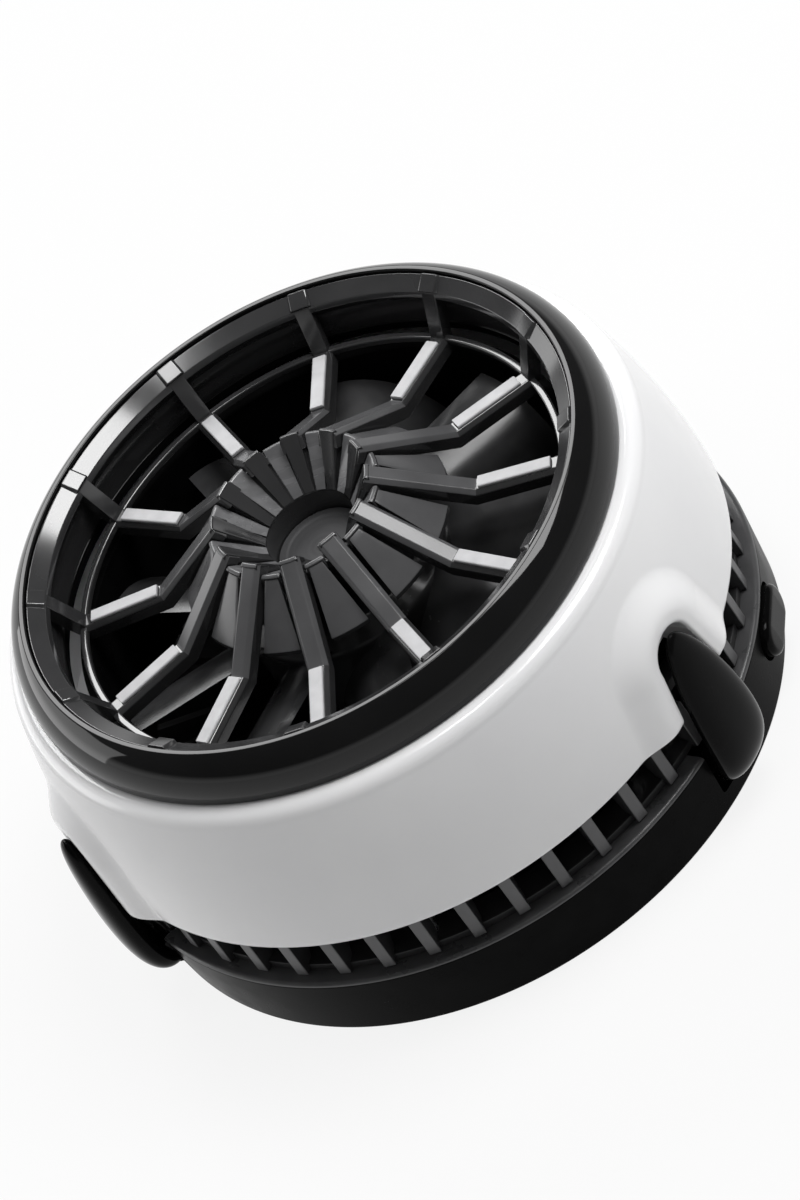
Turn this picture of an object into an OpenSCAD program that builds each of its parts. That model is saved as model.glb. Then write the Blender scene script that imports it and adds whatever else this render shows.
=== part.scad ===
// Round magnetic phone cooler: a fan behind a spoked grille blows through a heat sink,
// and a thermoelectric module cools the plate on the underside.
// Z is the fan axis, with the underside at zero. Sizes are in millimetres and degrees.

/* [Base] */
// Height of the base ring
base_h = 7.5; // [7.2:0.1:8.5]
// Radius of the base ring's top edge and of the shell's lower edge
rim_r = 33; // [31:0.1:36]
// How far the base ring narrows towards its underside
foot_taper = 0.7; // [0.3:0.1:1]
// Width of the base ring
base_wall = 5; // [4.8:0.1:5.1]
// Thickness of the base plate
plate_t = 1.8; // [1.6:0.1:2]
// Width of the rim that frames the base plate
plate_rim = 1; // [0.8:0.1:1.1]

/* [Shell] */
// Height of the vent gap between base ring and shell
vent_h = 5.6; // [5:0.1:7]
// Height of the shell
shell_h = 16.65; // [16:0.05:19]
// How far the shell narrows towards its top
shell_taper = 1.6; // [1.3:0.1:1.9]
// How far the shell's wall bulges out of a straight cone
shell_bulge = 0.5; // [0.3:0.1:0.8]
// Radius of the soft shoulder at the shell's top
shoulder_r = 1.4; // [1:0.1:1.6]
// Wall of the shell
shell_wall = 1.6; // [1.4:0.1:1.9]
// Thickness of the ledge inside the shell
ledge_t = 1.5; // [1:0.1:2]

/* [Bezel] */
// Height of the bezel above its seam with the shell
bezel_h = 4.65; // [4.4:0.05:5.5]
// How far the bezel's foot is set in from the shell's top
bezel_step = 1.8; // [1.5:0.1:2]
// How far the bezel leans in from its foot to its lip
bezel_lean = 2.1; // [1.8:0.1:2.2]
// Width of the flat on the lip
lip_w = 0.5; // [0.3:0.1:0.7]
// How far the bezel's face bulges
bezel_bulge = 0.8; // [0.4:0.1:1.2]
// Depth of the skirt that plugs into the shell
skirt_h = 2.25; // [1.9:0.05:2.4]
// How far the skirt is set in from the bezel's foot
skirt_step = 1; // [0.8:0.1:1.2]

/* [Grille] */
// Number of spokes
spokes = 12; // [12:1:12]
// Width of the cone band inside the lip
band_w = 1.5; // [1.2:0.1:1.8]
// Drop of the cone band
band_drop = 0.9; // [0.6:0.1:1.2]
// How far the thin ring that joins the feet of the spokes is set in from the lip
joint_inset = 3.75; // [3.5:0.05:4]
// Depth of the joint ring below the lip
joint_depth = 5.3; // [5:0.1:5.5]
// Radius of the kink in each spoke
kink_r = 15.6; // [15.4:0.1:16.5]
// Depth of the kink below the lip
kink_depth = 4.3; // [4:0.1:4.6]
// Width across the top of a spoke
spoke_w = 1.35; // [1.1:0.05:1.6]
// Width of a spoke below its chamfers
spoke_foot_w = 2.1; // [1.8:0.1:2.4]
// Depth of a spoke
spoke_t = 1.6; // [1.3:0.1:1.8]
// Thickness of the pale bar on each spoke
insert_t = 0.35; // [0.2:0.05:0.5]
// Height of the hub crown above the lip
crown_rise = 1.25; // [1:0.05:1.5]
// Outer radius of the hub crown
crown_r = 8.3; // [8:0.1:8.8]
// Number of slats that line the crown
crown_slats = 24; // [12:12:36]
// Drop of every other slat, the ones under the petals
slat_drop = 0.8; // [0.6:0.1:0.8]
// Radius of the hub cup
cup_r = 4.4; // [4.2:0.1:4.8]
// Depth of the hub cup's underside below the lip
cup_depth = 6.8; // [6.6:0.1:7.2]
// Radius of the petals' lower edge
petal_r = 14.4; // [13.5:0.1:14.6]
// Slot between two petals, where a spoke passes
petal_slot = 3; // [2.8:0.1:3.6]

/* [Vent] */
// Number of vanes
vanes = 45; // [30:1:54]
// Thickness of a vane
vane_t = 1.2; // [0.8:0.1:1.5]
// How far the vanes are set back from the rim
vane_recess = 1.1; // [1:0.1:1.5]
// Depth of a vane at its foot, where it is shallowest
vane_foot = 1.3; // [1:0.1:2]
// Angle of the first vane
vane_a = -80.5; // [-84:0.5:-76]
// How far the vent ring's bore is wider than the base ring's
vent_step = 0.2; // [0.1:0.1:0.5]
// How far the vent ring reaches up inside the shell
vent_overlap = 1.4; // [1.2:0.1:2]

/* [Claws] */
// Angle of the first claw round the base
claw_from_a = -29.2; // [-32:0.2:-28]
// Height of a claw's tip
claw_tip_z = 21; // [20:0.1:21]
// How far a claw's tip stands out from the rim
claw_tip_out = 1.3; // [1.3:0.1:2]
// How far the control point at a claw's low outer bend stands out
claw_bend_out = 2.5; // [2.4:0.1:3.4]
// Height of that control point
claw_bend_z = 1.6; // [1.4:0.1:3]
// How far the control point at a claw's middle stands out
claw_belly_out = 1.4; // [1.4:0.1:2.4]
// Height of that control point
claw_belly_z = 13.3; // [12.5:0.1:14]
// Half thickness of a claw at its root
claw_root_t = 1.8; // [1.6:0.1:1.8]
// Half thickness of a claw near its tip
claw_tip_t = 1.15; // [0.9:0.05:1.15]
// Half width of a claw at its root
claw_root_w = 2.7; // [2.5:0.1:2.8]
// Half width of a claw near its tip
claw_tip_w = 2; // [1.8:0.1:2]
// Extra half width at the middle of a claw
claw_belly_w = 1.2; // [0.9:0.1:1.2]
// Radius of a claw's knuckle
knuckle_r = 1.9; // [1.85:0.05:2]
// How far the claws' hinge axis is set in from the rim
hinge_in = 1.4; // [1.2:0.1:1.5]
// Height of the claws' hinge axis
hinge_z = 4.8; // [4.7:0.1:5]
// Radius of a hinge pin
pin_r = 0.6; // [0.5:0.05:0.7]

/* [Notches] */
// Radius of the arch at the top of a shell notch
arch_r = 2.9; // [2.8:0.1:3.1]
// Height of the centre of that arch
arch_z = 18.5; // [18:0.1:18.8]
// Half width of a notch at the shell's lower edge
notch_w = 4; // [3.8:0.1:4.4]
// Width of the raised hood's face round a notch
hood_w = 1.4; // [1:0.1:1.8]
// How far the hood stands out at the shell's lower edge
hood_out = 0.9; // [0.6:0.1:0.9]
// How far the hood's face leans in towards its top
hood_lean = 0.1; // [0.1:0.1:0.6]
// Flare of the hood's sides towards the shell
hood_flare = 1.4; // [0.8:0.1:1.8]

/* [Button] */
// Length of the button round the base
button_l = 7.5; // [7:0.5:9]
// Height of the button
button_h = 3.8; // [3.2:0.1:3.8]
// How far the button's face stands out from the rim
button_out = 0.7; // [0.6:0.1:1.4]
// Angle of the button round the base
button_a = -4.5; // [-6:0.5:-2]
// Travel of the button
button_travel = 0.5; // [0.3:0.1:0.6]

/* [Fan] */
// How far the fan's shroud is set in from the base ring's bore
shroud_inset = 4.2; // [4:0.1:4.6]
// Wall of the shroud
shroud_t = 1.2; // [1:0.1:1.3]
// Thickness of the fan frame's flange
flange_t = 1.5; // [1.2:0.1:2]
// Gap between shroud and blade tips
tip_gap = 0.8; // [0.6:0.1:1.2]
// Number of blades
blades = 9; // [5:1:11]
// Radius of the impeller's hub
hub_r = 10.5; // [10.3:0.1:11]
// Thickness of a blade
blade_t = 0.9; // [0.7:0.1:1.2]
// Chord of a blade
blade_chord = 11.5; // [9:0.5:12]
// Pitch of a blade
blade_pitch = 38; // [30:1:42]
// Radius of the motor shaft
shaft_r = 1; // [0.75:0.05:1.1]
// Radius of the bearing bush
bush_r = 2.5; // [2.2:0.1:2.6]
// Thickness of the ring magnet inside the hub
rotor_magnet_t = 1.05; // [0.9:0.05:1.3]

/* [Cooling stack] */
// Foam left outside the thermoelectric module's corners
module_margin = 2.82; // [2.5:0.02:3.2]
// Thickness of the thermoelectric module
module_t = 3.2; // [3:0.1:3.4]
// Gap between the cold plate's rim and the magnet ring
cold_gap = 1.5; // [1.3:0.1:2]
// Thickness of the contact pad under the cold plate
pad_t = 0.5; // [0.3:0.1:0.6]
// Distance of the contact pad's edge from the screws round it
pad_gap = 2; // [1.9:0.1:3]
// Gap between the heat sink and the base ring's bore
sink_gap = 0.4; // [0.3:0.1:2]
// Number of heat sink fins
sink_fins = 40; // [24:2:48]
// Thickness of a heat sink fin
fin_t = 0.7; // [0.5:0.1:0.9]
// Gap between the magnet ring and the base ring's bore
magnet_gap = 0.5; // [0.4:0.1:1.5]
// Width of the magnet ring
magnet_w = 5.5; // [4.5:0.1:5.7]
// Number of magnets in the ring
magnets = 16; // [12:1:24]

/* [Clearances] */
// Gap between pieces that are assembled and stay put
fit = 0.1; // [0.05:0.01:0.15]
// Radial gap of turning and sliding fits
running = 0.05; // [0.03:0.01:0.08]
// Gap round pieces that move in an opening
moving = 0.3; // [0.25:0.05:0.35]

/* [Hidden] */

$fn = 96;
eps = 0.01;
far = 60;

black = [0.05, 0.05, 0.055];
satin_black = [0.1, 0.1, 0.105];
smoke = [0.16, 0.16, 0.17];
white = [0.92, 0.92, 0.93];
silver = [0.8, 0.8, 0.82];
steel = [0.6, 0.6, 0.62];
copper = [0.72, 0.43, 0.25];
board_green = [0.07, 0.3, 0.17];

// Levels from the underside up
shell_z = base_h + vent_h;
vent_top_z = shell_z + vent_overlap;
flange_top_z = vent_top_z + flange_t;
ledge_top_z = flange_top_z + ledge_t;
seam_z = shell_z + shell_h;
lip_z = seam_z + bezel_h;
skirt_z = seam_z - skirt_h;
seat_t = 1;
seat_z = skirt_z + seat_t;

// Radii that follow the rim
foot_r = rim_r - foot_taper;
base_bore_r = rim_r - base_wall;
shell_top_r = rim_r - shell_taper;
bezel_r = shell_top_r - bezel_step;
lip_r = bezel_r - bezel_lean;
skirt_r = bezel_r - skirt_step;
joint_r = lip_r - joint_inset;
vane_r = rim_r - vane_recess;
vent_bore_r = base_bore_r + vent_step;
hinge_r = rim_r - hinge_in;
hood_r = rim_r + hood_out;
button_r = rim_r + button_out;
shroud_r = base_bore_r - shroud_inset;
sink_r = base_bore_r - sink_gap;
magnet_out_r = base_bore_r - magnet_gap;
magnet_in_r = magnet_out_r - magnet_w;
cold_r = magnet_in_r - cold_gap;

// Radii shared by neighbours
plate_seat_r = foot_r - plate_rim;
shell_bore_r = rim_r - shell_wall;
inner_r = shell_bore_r - fit - fit;
ledge_r = base_bore_r - sink_gap;
bezel_bore_r = lip_r - lip_w;
seat_w = 1.1;
seat_r = bezel_bore_r - seat_w;
grille_r = bezel_bore_r - fit;

// Grille levels and slopes
band_gap = 0.3;
band_top_z = lip_z - band_gap;
band_foot_z = band_top_z - band_drop;
band_in_r = grille_r - band_w;
joint_z = lip_z - joint_depth;
bar_rise = 0.4;
bar_top_z = joint_z + bar_rise;
insert_inset = 0.3;
kink_z = lip_z - kink_depth;
crown_z = lip_z + crown_rise;
cup_z = lip_z - cup_depth;
cup_floor = 0.6;
cup_wall = 0.9;
funnel_h = 4.45;
funnel_z = crown_z - funnel_h;
joint_w = 0.7;
joint_t = 0.7;
spoke_chamfer = 0.4;
spoke_a = 360 / spokes;

// Screws that clamp the case, each in line with a vane between two claws
case_screw_inset = 1.4;
case_screw_r = base_bore_r + case_screw_inset;
case_screw_from_a = vane_a + 112;
case_screw_a = [for (i = [0 : 2]) case_screw_from_a + 120 * i];
screw_shank_r = 0.8;
screw_head_r = 1.3;
screw_head_h = 1;
screw_sink = 0.4;

// Screws that clamp the cooling stack
module_w = (cold_r - module_margin) * sqrt(2);
sink_screw_r = (module_w / 2 + cold_r) / 2;
sink_screw_a = [0, 90, 180, 270];
pad_r = sink_screw_r - pad_gap;
sink_shank_r = 0.95;
sink_head_r = 1.5;

// Cooling stack levels
magnet_skin = 0.4;
cold_flange_z = 1.2;
cold_flange_w = 1.5;
cold_boss_r = cold_r - cold_flange_w;
cold_top_z = 2.5;
module_top_z = cold_top_z + module_t;
sink_base_t = 2.5;
sink_step_t = 1;
sink_floor_z = module_top_z + sink_base_t;
sink_air_gap = 0.5;
sink_core_r = 10;

// Fan levels
fan_gap = 1.1;
spider_gap = 1.5;
impeller_z = flange_top_z + spider_gap;
impeller_top_z = cup_z - fan_gap;
hub_wall = 1;
hub_top_t = 1.2;
tip_r = shroud_r - tip_gap;
tube_wall = 0.9;
tube_r = bush_r + fit / 2 + tube_wall;
tube_seat = 0.8;
thrust_t = 0.3;
stator_gap = 0.7;
stator_z = impeller_z + stator_gap;
stator_h = 4;
tube_rise = 1.8;
tube_top_z = stator_z + stator_h + tube_rise;
air_gap = 0.6;
stator_r = hub_r - hub_wall - fit / 2 - rotor_magnet_t - air_gap;
pole_count = 6;
pole_w = 1.6;
pole_tip_t = 0.8;
yoke_t = 1.2;
coil_end_h = 0.8;

// Circuit board, switch and socket
board_gap = 0.3;
board_t = 1;
board_z = plate_t + board_gap;
board_top_z = board_z + board_t;
board_in_r = cold_r + 2 * moving;
board_out_r = base_bore_r - moving;
board_from_a = -22;
board_to_a = 72;
button_z = 4.7;
switch_l = 3.4;
switch_w = 6;
switch_h = 3.3;
plunger_r = 1;
plunger_l = 2.4;
plunger_end_gap = 0.3;
switch_back = 1.2;
button_ear = 0.4;
button_flange_t = 0.6;
button_flange_gap = 0.8;
button_flange_x = base_bore_r - button_flange_gap - button_flange_t;
button_flange_l = button_l + 2 * moving + 2 * button_ear;
switch_x = button_flange_x - plunger_l - button_travel - plunger_end_gap - switch_back;
usb_a = 50;
usb_w = 8.94;
usb_h = 3.26;
usb_l = 7.3;
usb_wall = 0.3;
usb_recess = 1;
usb_z = board_top_z + usb_h / 2;
tongue_w = 6.7;
tongue_t = 0.7;
tongue_l = 4.6;

// Claws and their hinges
claw_a = [for (i = [0 : 2]) claw_from_a + 120 * i];
pocket_w = claw_root_w + claw_belly_w / 3 + moving;
pocket_floor = 0.2;
pocket_z = plate_t + pocket_floor;
pocket_r = hinge_r - knuckle_r - moving;
pin_seat = 1.2;
pin_l = 2 * pocket_w + 2 * pin_seat;
spring_slot_r = 1.6;
spring_slot_w = 1.55;
spring_r = 1.15;
spring_wire_r = 0.17;
spring_turns = 3;
spring_pitch = 0.8;
claw_stations = 30;
claw_sides = 20;
claw_squareness = 0.9;
claw_end = 0.995;

// Points of an arc from p to q that bulges by sag to the right of that line
function arc(p, q, sag, steps) =
    let (d = q - p, c = norm(d), u = d / c, n = [u[1], -u[0]])
    let (radius = (c * c / 4 + sag * sag) / (2 * sag), half = asin(c / (2 * radius)))
    let (centre = (p + q) / 2 + n * (sag - radius))
    [for (i = [0 : steps]) let (t = -half + 2 * half * i / steps)
        centre + radius * (n * cos(t) + u * sin(t))];

// Point of a cubic curve with four control points
function cubic(a, b, c, d, t) =
    a * pow(1 - t, 3) + b * 3 * t * pow(1 - t, 2) + c * 3 * t * t * (1 - t) + d * pow(t, 3);

// Signed power, which squares off an ellipse
function spow(v, e) = sign(v) * pow(abs(v), e);

// Triangles that skin a stack of closed rings and cap both ends
function skin(rings, sides) = concat(
    [for (i = [0 : rings - 2]) for (j = [0 : sides - 1]) let (k = (j + 1) % sides)
        [i * sides + j, i * sides + k, (i + 1) * sides + k]],
    [for (i = [0 : rings - 2]) for (j = [0 : sides - 1]) let (k = (j + 1) % sides)
        [i * sides + j, (i + 1) * sides + k, (i + 1) * sides + j]],
    [for (j = [1 : sides - 2]) [0, j + 1, j]],
    [for (j = [1 : sides - 2]) let (n = (rings - 1) * sides) [n, n + j, n + j + 1]]);

// Turns children round the fan axis and moves them out to a radius
module at(angle, radius = 0) {
    rotate([0, 0, angle]) translate([radius, 0, 0]) children();
}

// Flat ring between two levels
module ring(r_out, r_in, z_low, z_high) {
    translate([0, 0, z_low]) difference() {
        cylinder(r = r_out, h = z_high - z_low);
        translate([0, 0, -eps]) cylinder(r = r_in, h = z_high - z_low + 2 * eps);
    }
}

// Upright post or hole
module post(radius, z_low, z_high) {
    translate([0, 0, z_low]) cylinder(r = radius, h = z_high - z_low);
}

// Extrudes a shape drawn across and up, outward along X
module outward(x_low, x_high) {
    translate([x_low, 0, 0]) rotate([90, 0, 90]) linear_extrude(height = x_high - x_low) children();
}

// Extrudes a shape drawn in radius and height, across by a width
module across(width) {
    translate([0, width / 2, 0]) rotate([90, 0, 0]) linear_extrude(height = width) children();
}

// Chamfered bar whose top runs between two points in radius and height
module beam(p, q, top_w, foot_w, chamfer, depth) {
    run = q - p;
    section = [
        [-top_w / 2, 0], [-foot_w / 2, -chamfer], [-foot_w / 2, -depth],
        [foot_w / 2, -depth], [foot_w / 2, -chamfer], [top_w / 2, 0]
    ];
    translate([p[0], 0, p[1]])
        rotate([0, -atan2(run[1], run[0]), 0])
        outward(0, norm(run)) polygon(section);
}

// Flat capsule, long across
module capsule(length, height) {
    end_r = height / 2;
    square([length - height, height], center = true);
    for (side = [-1, 1]) translate([side * (length / 2 - end_r), 0]) circle(r = end_r);
}

// Wedge-shaped plan of a number of equal sectors, each with a half angle
module sectors(count, reach, half) {
    for (i = [0 : count - 1]) rotate([0, 0, i * 360 / count])
        polygon([[0, 0], [reach, -reach * tan(half)], [reach, reach * tan(half)]]);
}

// Gloss black ring round the intake, with a skirt that plugs into the shell
module bezel_ring() {
    section = concat(
        [[bezel_bore_r, seat_z], [seat_r, seat_z], [seat_r, skirt_z]],
        [[skirt_r, skirt_z], [skirt_r, seam_z]],
        arc([bezel_r, seam_z], [lip_r, lip_z], bezel_bulge, 14),
        [[bezel_bore_r, lip_z]]);
    color(black) rotate_extrude() polygon(section);
}

// Rim of the grille, with the cone band that shows inside the lip
module grille_rim() {
    nose_w = 0.2;
    nose_h = 0.6;
    back_h = 1.8;
    rotate_extrude() polygon([
        [grille_r, seat_z], [grille_r, band_top_z], [band_in_r, band_foot_z],
        [band_in_r - nose_w, band_foot_z - nose_h], [seat_r + fit, band_foot_z - back_h],
        [seat_r + fit, seat_z]
    ]);
}

// One spoke: block on the rim, steep leg, flat bar and rising arm
module spoke() {
    joint_in_r = joint_r - joint_w / 2;
    block_rise = 0.3;
    block_reach = 0.15;
    block_w = 1.7;
    block_foot_w = 2.4;
    block_chamfer = 0.5;
    block_t = 1.2;
    leg_w = spoke_w + 0.2;
    leg_t = 1;
    leg_out_r = grille_r - 0.4;
    arm_in_r = crown_r - 1;
    arm_top_z = crown_z - 0.2;
    intersection() {
        beam([band_in_r - block_reach, band_foot_z + block_rise], [grille_r, band_top_z + block_rise],
            block_w, block_foot_w, block_chamfer, block_t);
        post(grille_r, seat_z, lip_z - running);
    }
    across(leg_w) polygon([
        [joint_in_r, joint_z - joint_t], [joint_in_r, bar_top_z - insert_t], [band_in_r, band_foot_z],
        [leg_out_r, band_foot_z], [leg_out_r, band_foot_z - leg_t], [joint_r + joint_w, joint_z - joint_t]
    ]);
    beam([kink_r, kink_z - insert_t], [joint_r, bar_top_z - insert_t],
        spoke_w, spoke_foot_w, spoke_chamfer, spoke_t);
    beam([arm_in_r, arm_top_z], [kink_r + insert_inset, kink_z - insert_t - fit],
        spoke_w, spoke_foot_w, spoke_chamfer, spoke_t);
}

// Every other slat of the crown's funnel, from the first one round and with a drop
module slats(first, drop) {
    slat_z = crown_z - drop;
    slat_w = 1.4;
    slat_top_w = 0.8;
    slat_edge = 0.2;
    slat_back = 0.8;
    slat_gap_a = 1.1;
    intersection() {
        rotate_extrude() polygon([
            [cup_r + slat_edge, funnel_z - slat_edge / 2], [cup_r - slat_edge, funnel_z + slat_edge],
            [crown_r - slat_w, slat_z - slat_edge], [crown_r - slat_edge - slat_top_w, slat_z],
            [crown_r - slat_edge, slat_z], [crown_r, slat_z - slat_back]
        ]);
        rotate([0, 0, first * 360 / crown_slats]) linear_extrude(height = far)
            sectors(crown_slats / 2, 2 * crown_r, 180 / crown_slats - slat_gap_a);
    }
}

// Hub crown: cup, funnel lined with slats, and petals between the spokes
module crown() {
    cup_out_r = cup_r + cup_wall;
    edge_h = slat_drop + 0.4;
    edge_w = 0.8;
    edge_top = 0.2;
    petal_t = 0.9;
    petal_in_r = crown_r - 0.3;
    petal_top_z = crown_z - petal_t;
    petal_foot_z = joint_z - 0.4;
    petal_edge = 0.3;
    petal_edge_h = 0.5;
    rotate_extrude() polygon([
        [0, cup_z], [cup_out_r, cup_z], [cup_out_r, funnel_z - petal_edge], [crown_r, crown_z - 2 * edge_h],
        [crown_r, crown_z - edge_h], [crown_r - edge_w, crown_z - edge_h + edge_top], [cup_r, funnel_z],
        [cup_r, cup_z + cup_floor], [0, cup_z + cup_floor]
    ]);
    slats(0, 0);
    slats(1, slat_drop);
    difference() {
        rotate_extrude() polygon([
            [petal_in_r, petal_top_z], [crown_r, petal_top_z + edge_top],
            [petal_r, petal_foot_z + petal_edge_h], [petal_r - petal_edge, petal_foot_z],
            [petal_in_r, petal_top_z - petal_t]
        ]);
        for (i = [0 : spokes - 1]) at(i * spoke_a, crown_r + petal_edge)
            translate([0, -petal_slot / 2, 0]) cube([far, petal_slot, far]);
    }
}

// Dark moulded wheel in front of the fan
module grille_wheel() {
    color(black) {
        grille_rim();
        ring(joint_r + joint_w / 2, joint_r - joint_w / 2, joint_z - joint_t, joint_z);
        for (i = [0 : spokes - 1]) at(i * spoke_a) spoke();
        crown();
    }
}

// Pale bars on the flat stretch of the spokes
module spoke_inserts() {
    slope = (bar_top_z - kink_z) / (joint_r - kink_r);
    start_r = kink_r + insert_inset;
    end_r = joint_r - 1;
    edge = 0.1;
    color(silver) for (i = [0 : spokes - 1]) at(i * spoke_a)
        beam([start_r, kink_z + slope * (start_r - kink_r)], [end_r, kink_z + slope * (end_r - kink_r)],
            spoke_w - 2 * edge, spoke_w, edge, insert_t);
}

// Grey disc at the bottom of the hub cup
module hub_cap() {
    cap_r = cup_r - fit;
    low = cup_z + cup_floor;
    cap_t = 0.5;
    edge_w = 0.3;
    edge_h = 0.2;
    color(smoke) rotate_extrude() polygon([
        [0, low], [cap_r, low], [cap_r, low + cap_t - edge_h],
        [cap_r - edge_w, low + cap_t], [0, low + cap_t]
    ]);
}

// Outline of a shell notch, grown by a margin
module notch_outline(grow) {
    top_r = arch_r + grow;
    foot_w = notch_w + grow;
    translate([0, arch_z]) circle(r = top_r);
    polygon([[-foot_w, shell_z - 1], [foot_w, shell_z - 1], [top_r, arch_z], [-top_r, arch_z]]);
}

// Raised hood round a notch: a cone at the arch and a flared side down each leg
module notch_hood() {
    root_x = shell_bore_r + shell_wall / 8;
    depth = hood_r - root_x;
    top_z = arch_z + arch_r + hood_w;
    drop = arch_z - shell_z;
    lean = atan2(notch_w - arch_r, drop);
    intersection() {
        across(far) polygon([
            [root_x, shell_z], [hood_r, shell_z], [hood_r - hood_lean, top_z - hood_w / 2],
            [root_x, top_z + hood_flare]
        ]);
        translate([root_x, 0, arch_z]) {
            rotate([0, 90, 0]) cylinder(r1 = arch_r + hood_w + hood_flare, r2 = arch_r + hood_w, h = depth);
            for (side = [0, 1]) mirror([0, side, 0]) translate([0, arch_r, 0]) rotate([lean, 0, 0])
                translate([0, 0, -2 * drop]) linear_extrude(height = 2 * drop)
                polygon([[0, -arch_r], [0, hood_w + hood_flare], [depth, hood_w], [depth, -arch_r]]);
        }
    }
}

// Gloss white shell between vent and bezel
module outer_shell() {
    shoulder = [shell_top_r, seam_z - shoulder_r];
    edge_w = 0.3;
    edge_h = 0.4;
    quarter_sag = shoulder_r * 0.29;
    wall_top_z = skirt_z - 1.5;
    wall_foot_r = shell_bore_r - 0.6;
    section = concat(
        [[shell_bore_r, shell_z]],
        [[rim_r - edge_w, shell_z]],
        arc([rim_r, shell_z + edge_h], shoulder, shell_bulge, 18),
        arc(shoulder, [shell_top_r - shoulder_r, seam_z], quarter_sag, 6),
        [[skirt_r + fit, seam_z], [skirt_r + fit, skirt_z - fit], [shell_top_r - shell_wall, wall_top_z],
         [wall_foot_r, ledge_top_z], [ledge_r, ledge_top_z], [ledge_r, flange_top_z],
         [shell_bore_r, flange_top_z]]);
    color(white) difference() {
        union() {
            rotate_extrude() polygon(section);
            for (a = claw_a) at(a) notch_hood();
        }
        for (a = claw_a) at(a) outward(case_screw_r, far) notch_outline(0);
        for (a = case_screw_a) at(a, case_screw_r)
            post(screw_shank_r + running, flange_top_z - eps, ledge_top_z - 2 * fit);
    }
}

// Recessed band of upright vanes, clamped between base ring and fan frame
module vent_ring() {
    floor_t = 0.8;
    hoop_t = 0.9;
    post_wall = 0.7;
    vane_in_r = vent_bore_r + fit;
    vane_z = base_h + fit;
    vane_top_z = shell_z - moving;
    color(satin_black) difference() {
        union() {
            ring(inner_r, vent_bore_r, base_h, base_h + floor_t);
            ring(inner_r, vent_bore_r, vent_top_z - hoop_t, vent_top_z);
            for (i = [0 : vanes - 1]) at(vane_a + i * 360 / vanes) across(vane_t) polygon([
                [vane_r - vane_foot, vane_z], [vane_r, vane_z], [vane_r, vane_top_z],
                [inner_r - fit, vane_top_z], [inner_r - fit, vent_top_z - hoop_t / 2],
                [vane_in_r, vent_top_z - hoop_t / 2], [vane_in_r, shell_z - hoop_t]
            ]);
            for (a = case_screw_a) at(a, case_screw_r)
                post(screw_shank_r + post_wall, base_h + floor_t / 2, vent_top_z - hoop_t / 2);
        }
        for (a = case_screw_a) at(a, case_screw_r)
            post(screw_shank_r + fit, base_h - eps, vent_top_z + eps);
    }
}

// Satin black ring that carries the claws, the button and the socket
module base_ring() {
    edge = 0.4;
    color(satin_black) difference() {
        rotate_extrude() polygon([
            [plate_seat_r, 0], [foot_r - edge / 2, 0], [foot_r, edge / 2], [rim_r, base_h - edge],
            [rim_r - edge, base_h], [base_bore_r, base_h], [base_bore_r, plate_t], [plate_seat_r, plate_t]
        ]);
        for (a = claw_a) at(a) {
            translate([pocket_r, -pocket_w, pocket_z]) cube([far, 2 * pocket_w, far]);
            translate([hinge_r, -pin_l / 2 - fit, hinge_z]) rotate([-90, 0, 0])
                cylinder(r = pin_r + running / 2, h = pin_l + 2 * fit);
        }
        at(button_a) outward(board_in_r, far)
            translate([0, button_z]) capsule(button_l + 2 * moving, button_h + 2 * moving);
        at(usb_a) outward(board_in_r, far)
            translate([0, usb_z]) capsule(usb_w + 2 * fit, usb_h + 2 * fit);
        for (a = case_screw_a) at(a, case_screw_r) post(screw_shank_r + fit, plate_t - eps, base_h + eps);
    }
}

// Plate that closes the underside and holds the magnets
module base_plate() {
    color(satin_black) difference() {
        ring(plate_seat_r - fit, cold_boss_r + fit, 0, plate_t);
        post(cold_r + fit, cold_flange_z, plate_t + eps);
        ring(magnet_out_r + fit, magnet_in_r - fit, magnet_skin, plate_t + eps);
        for (a = case_screw_a) at(a, case_screw_r) {
            post(screw_shank_r + fit, -eps, plate_t + eps);
            post(screw_head_r + fit, -eps, screw_sink + screw_head_h);
        }
    }
}

// Soft pad that meets the phone's back
module contact_pad() {
    edge = 0.15;
    color(smoke) rotate_extrude()
        polygon([[0, 0], [pad_r - edge, 0], [pad_r, edge], [pad_r, pad_t], [0, pad_t]]);
}

// Aluminium plate on the cold side of the module
module cold_plate() {
    color(steel) difference() {
        rotate_extrude() polygon([
            [0, pad_t], [cold_boss_r, pad_t], [cold_boss_r, cold_flange_z], [cold_r, cold_flange_z],
            [cold_r, cold_top_z], [0, cold_top_z]
        ]);
        for (a = sink_screw_a) at(a, sink_screw_r) {
            post(sink_shank_r + fit, pad_t - eps, cold_top_z + eps);
            post(sink_head_r + fit, pad_t - eps, pad_t + screw_head_h);
        }
    }
}

// Ring of flat magnets in the base plate's groove
module magnet_ring() {
    kerf = 0.5;
    color(steel) difference() {
        ring(magnet_out_r, magnet_in_r, magnet_skin, plate_t);
        for (i = [0 : magnets - 1]) at((i + 0.5) * 360 / magnets)
            translate([0, -kerf / 2, 0]) cube([far, kerf, far]);
    }
}

// Foam frame round the module
module gasket() {
    window = module_w + 4 * fit;
    color(smoke) difference() {
        post(cold_r, cold_top_z, module_top_z);
        translate([-window / 2, -window / 2, 0]) cube([window, window, far]);
        for (a = sink_screw_a) at(a, sink_screw_r)
            post(sink_shank_r + fit, cold_top_z - eps, module_top_z + eps);
    }
}

// Thermoelectric module: two ceramic faces on a sealed core
module peltier_module() {
    face_t = 0.8;
    core_inset = 0.7;
    core_w = module_w - 2 * core_inset;
    color(white) {
        for (z = [cold_top_z, module_top_z - face_t])
            translate([-module_w / 2, -module_w / 2, z]) cube([module_w, module_w, face_t]);
        translate([-core_w / 2, -core_w / 2, cold_top_z]) cube([core_w, core_w, module_t]);
    }
}

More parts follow.
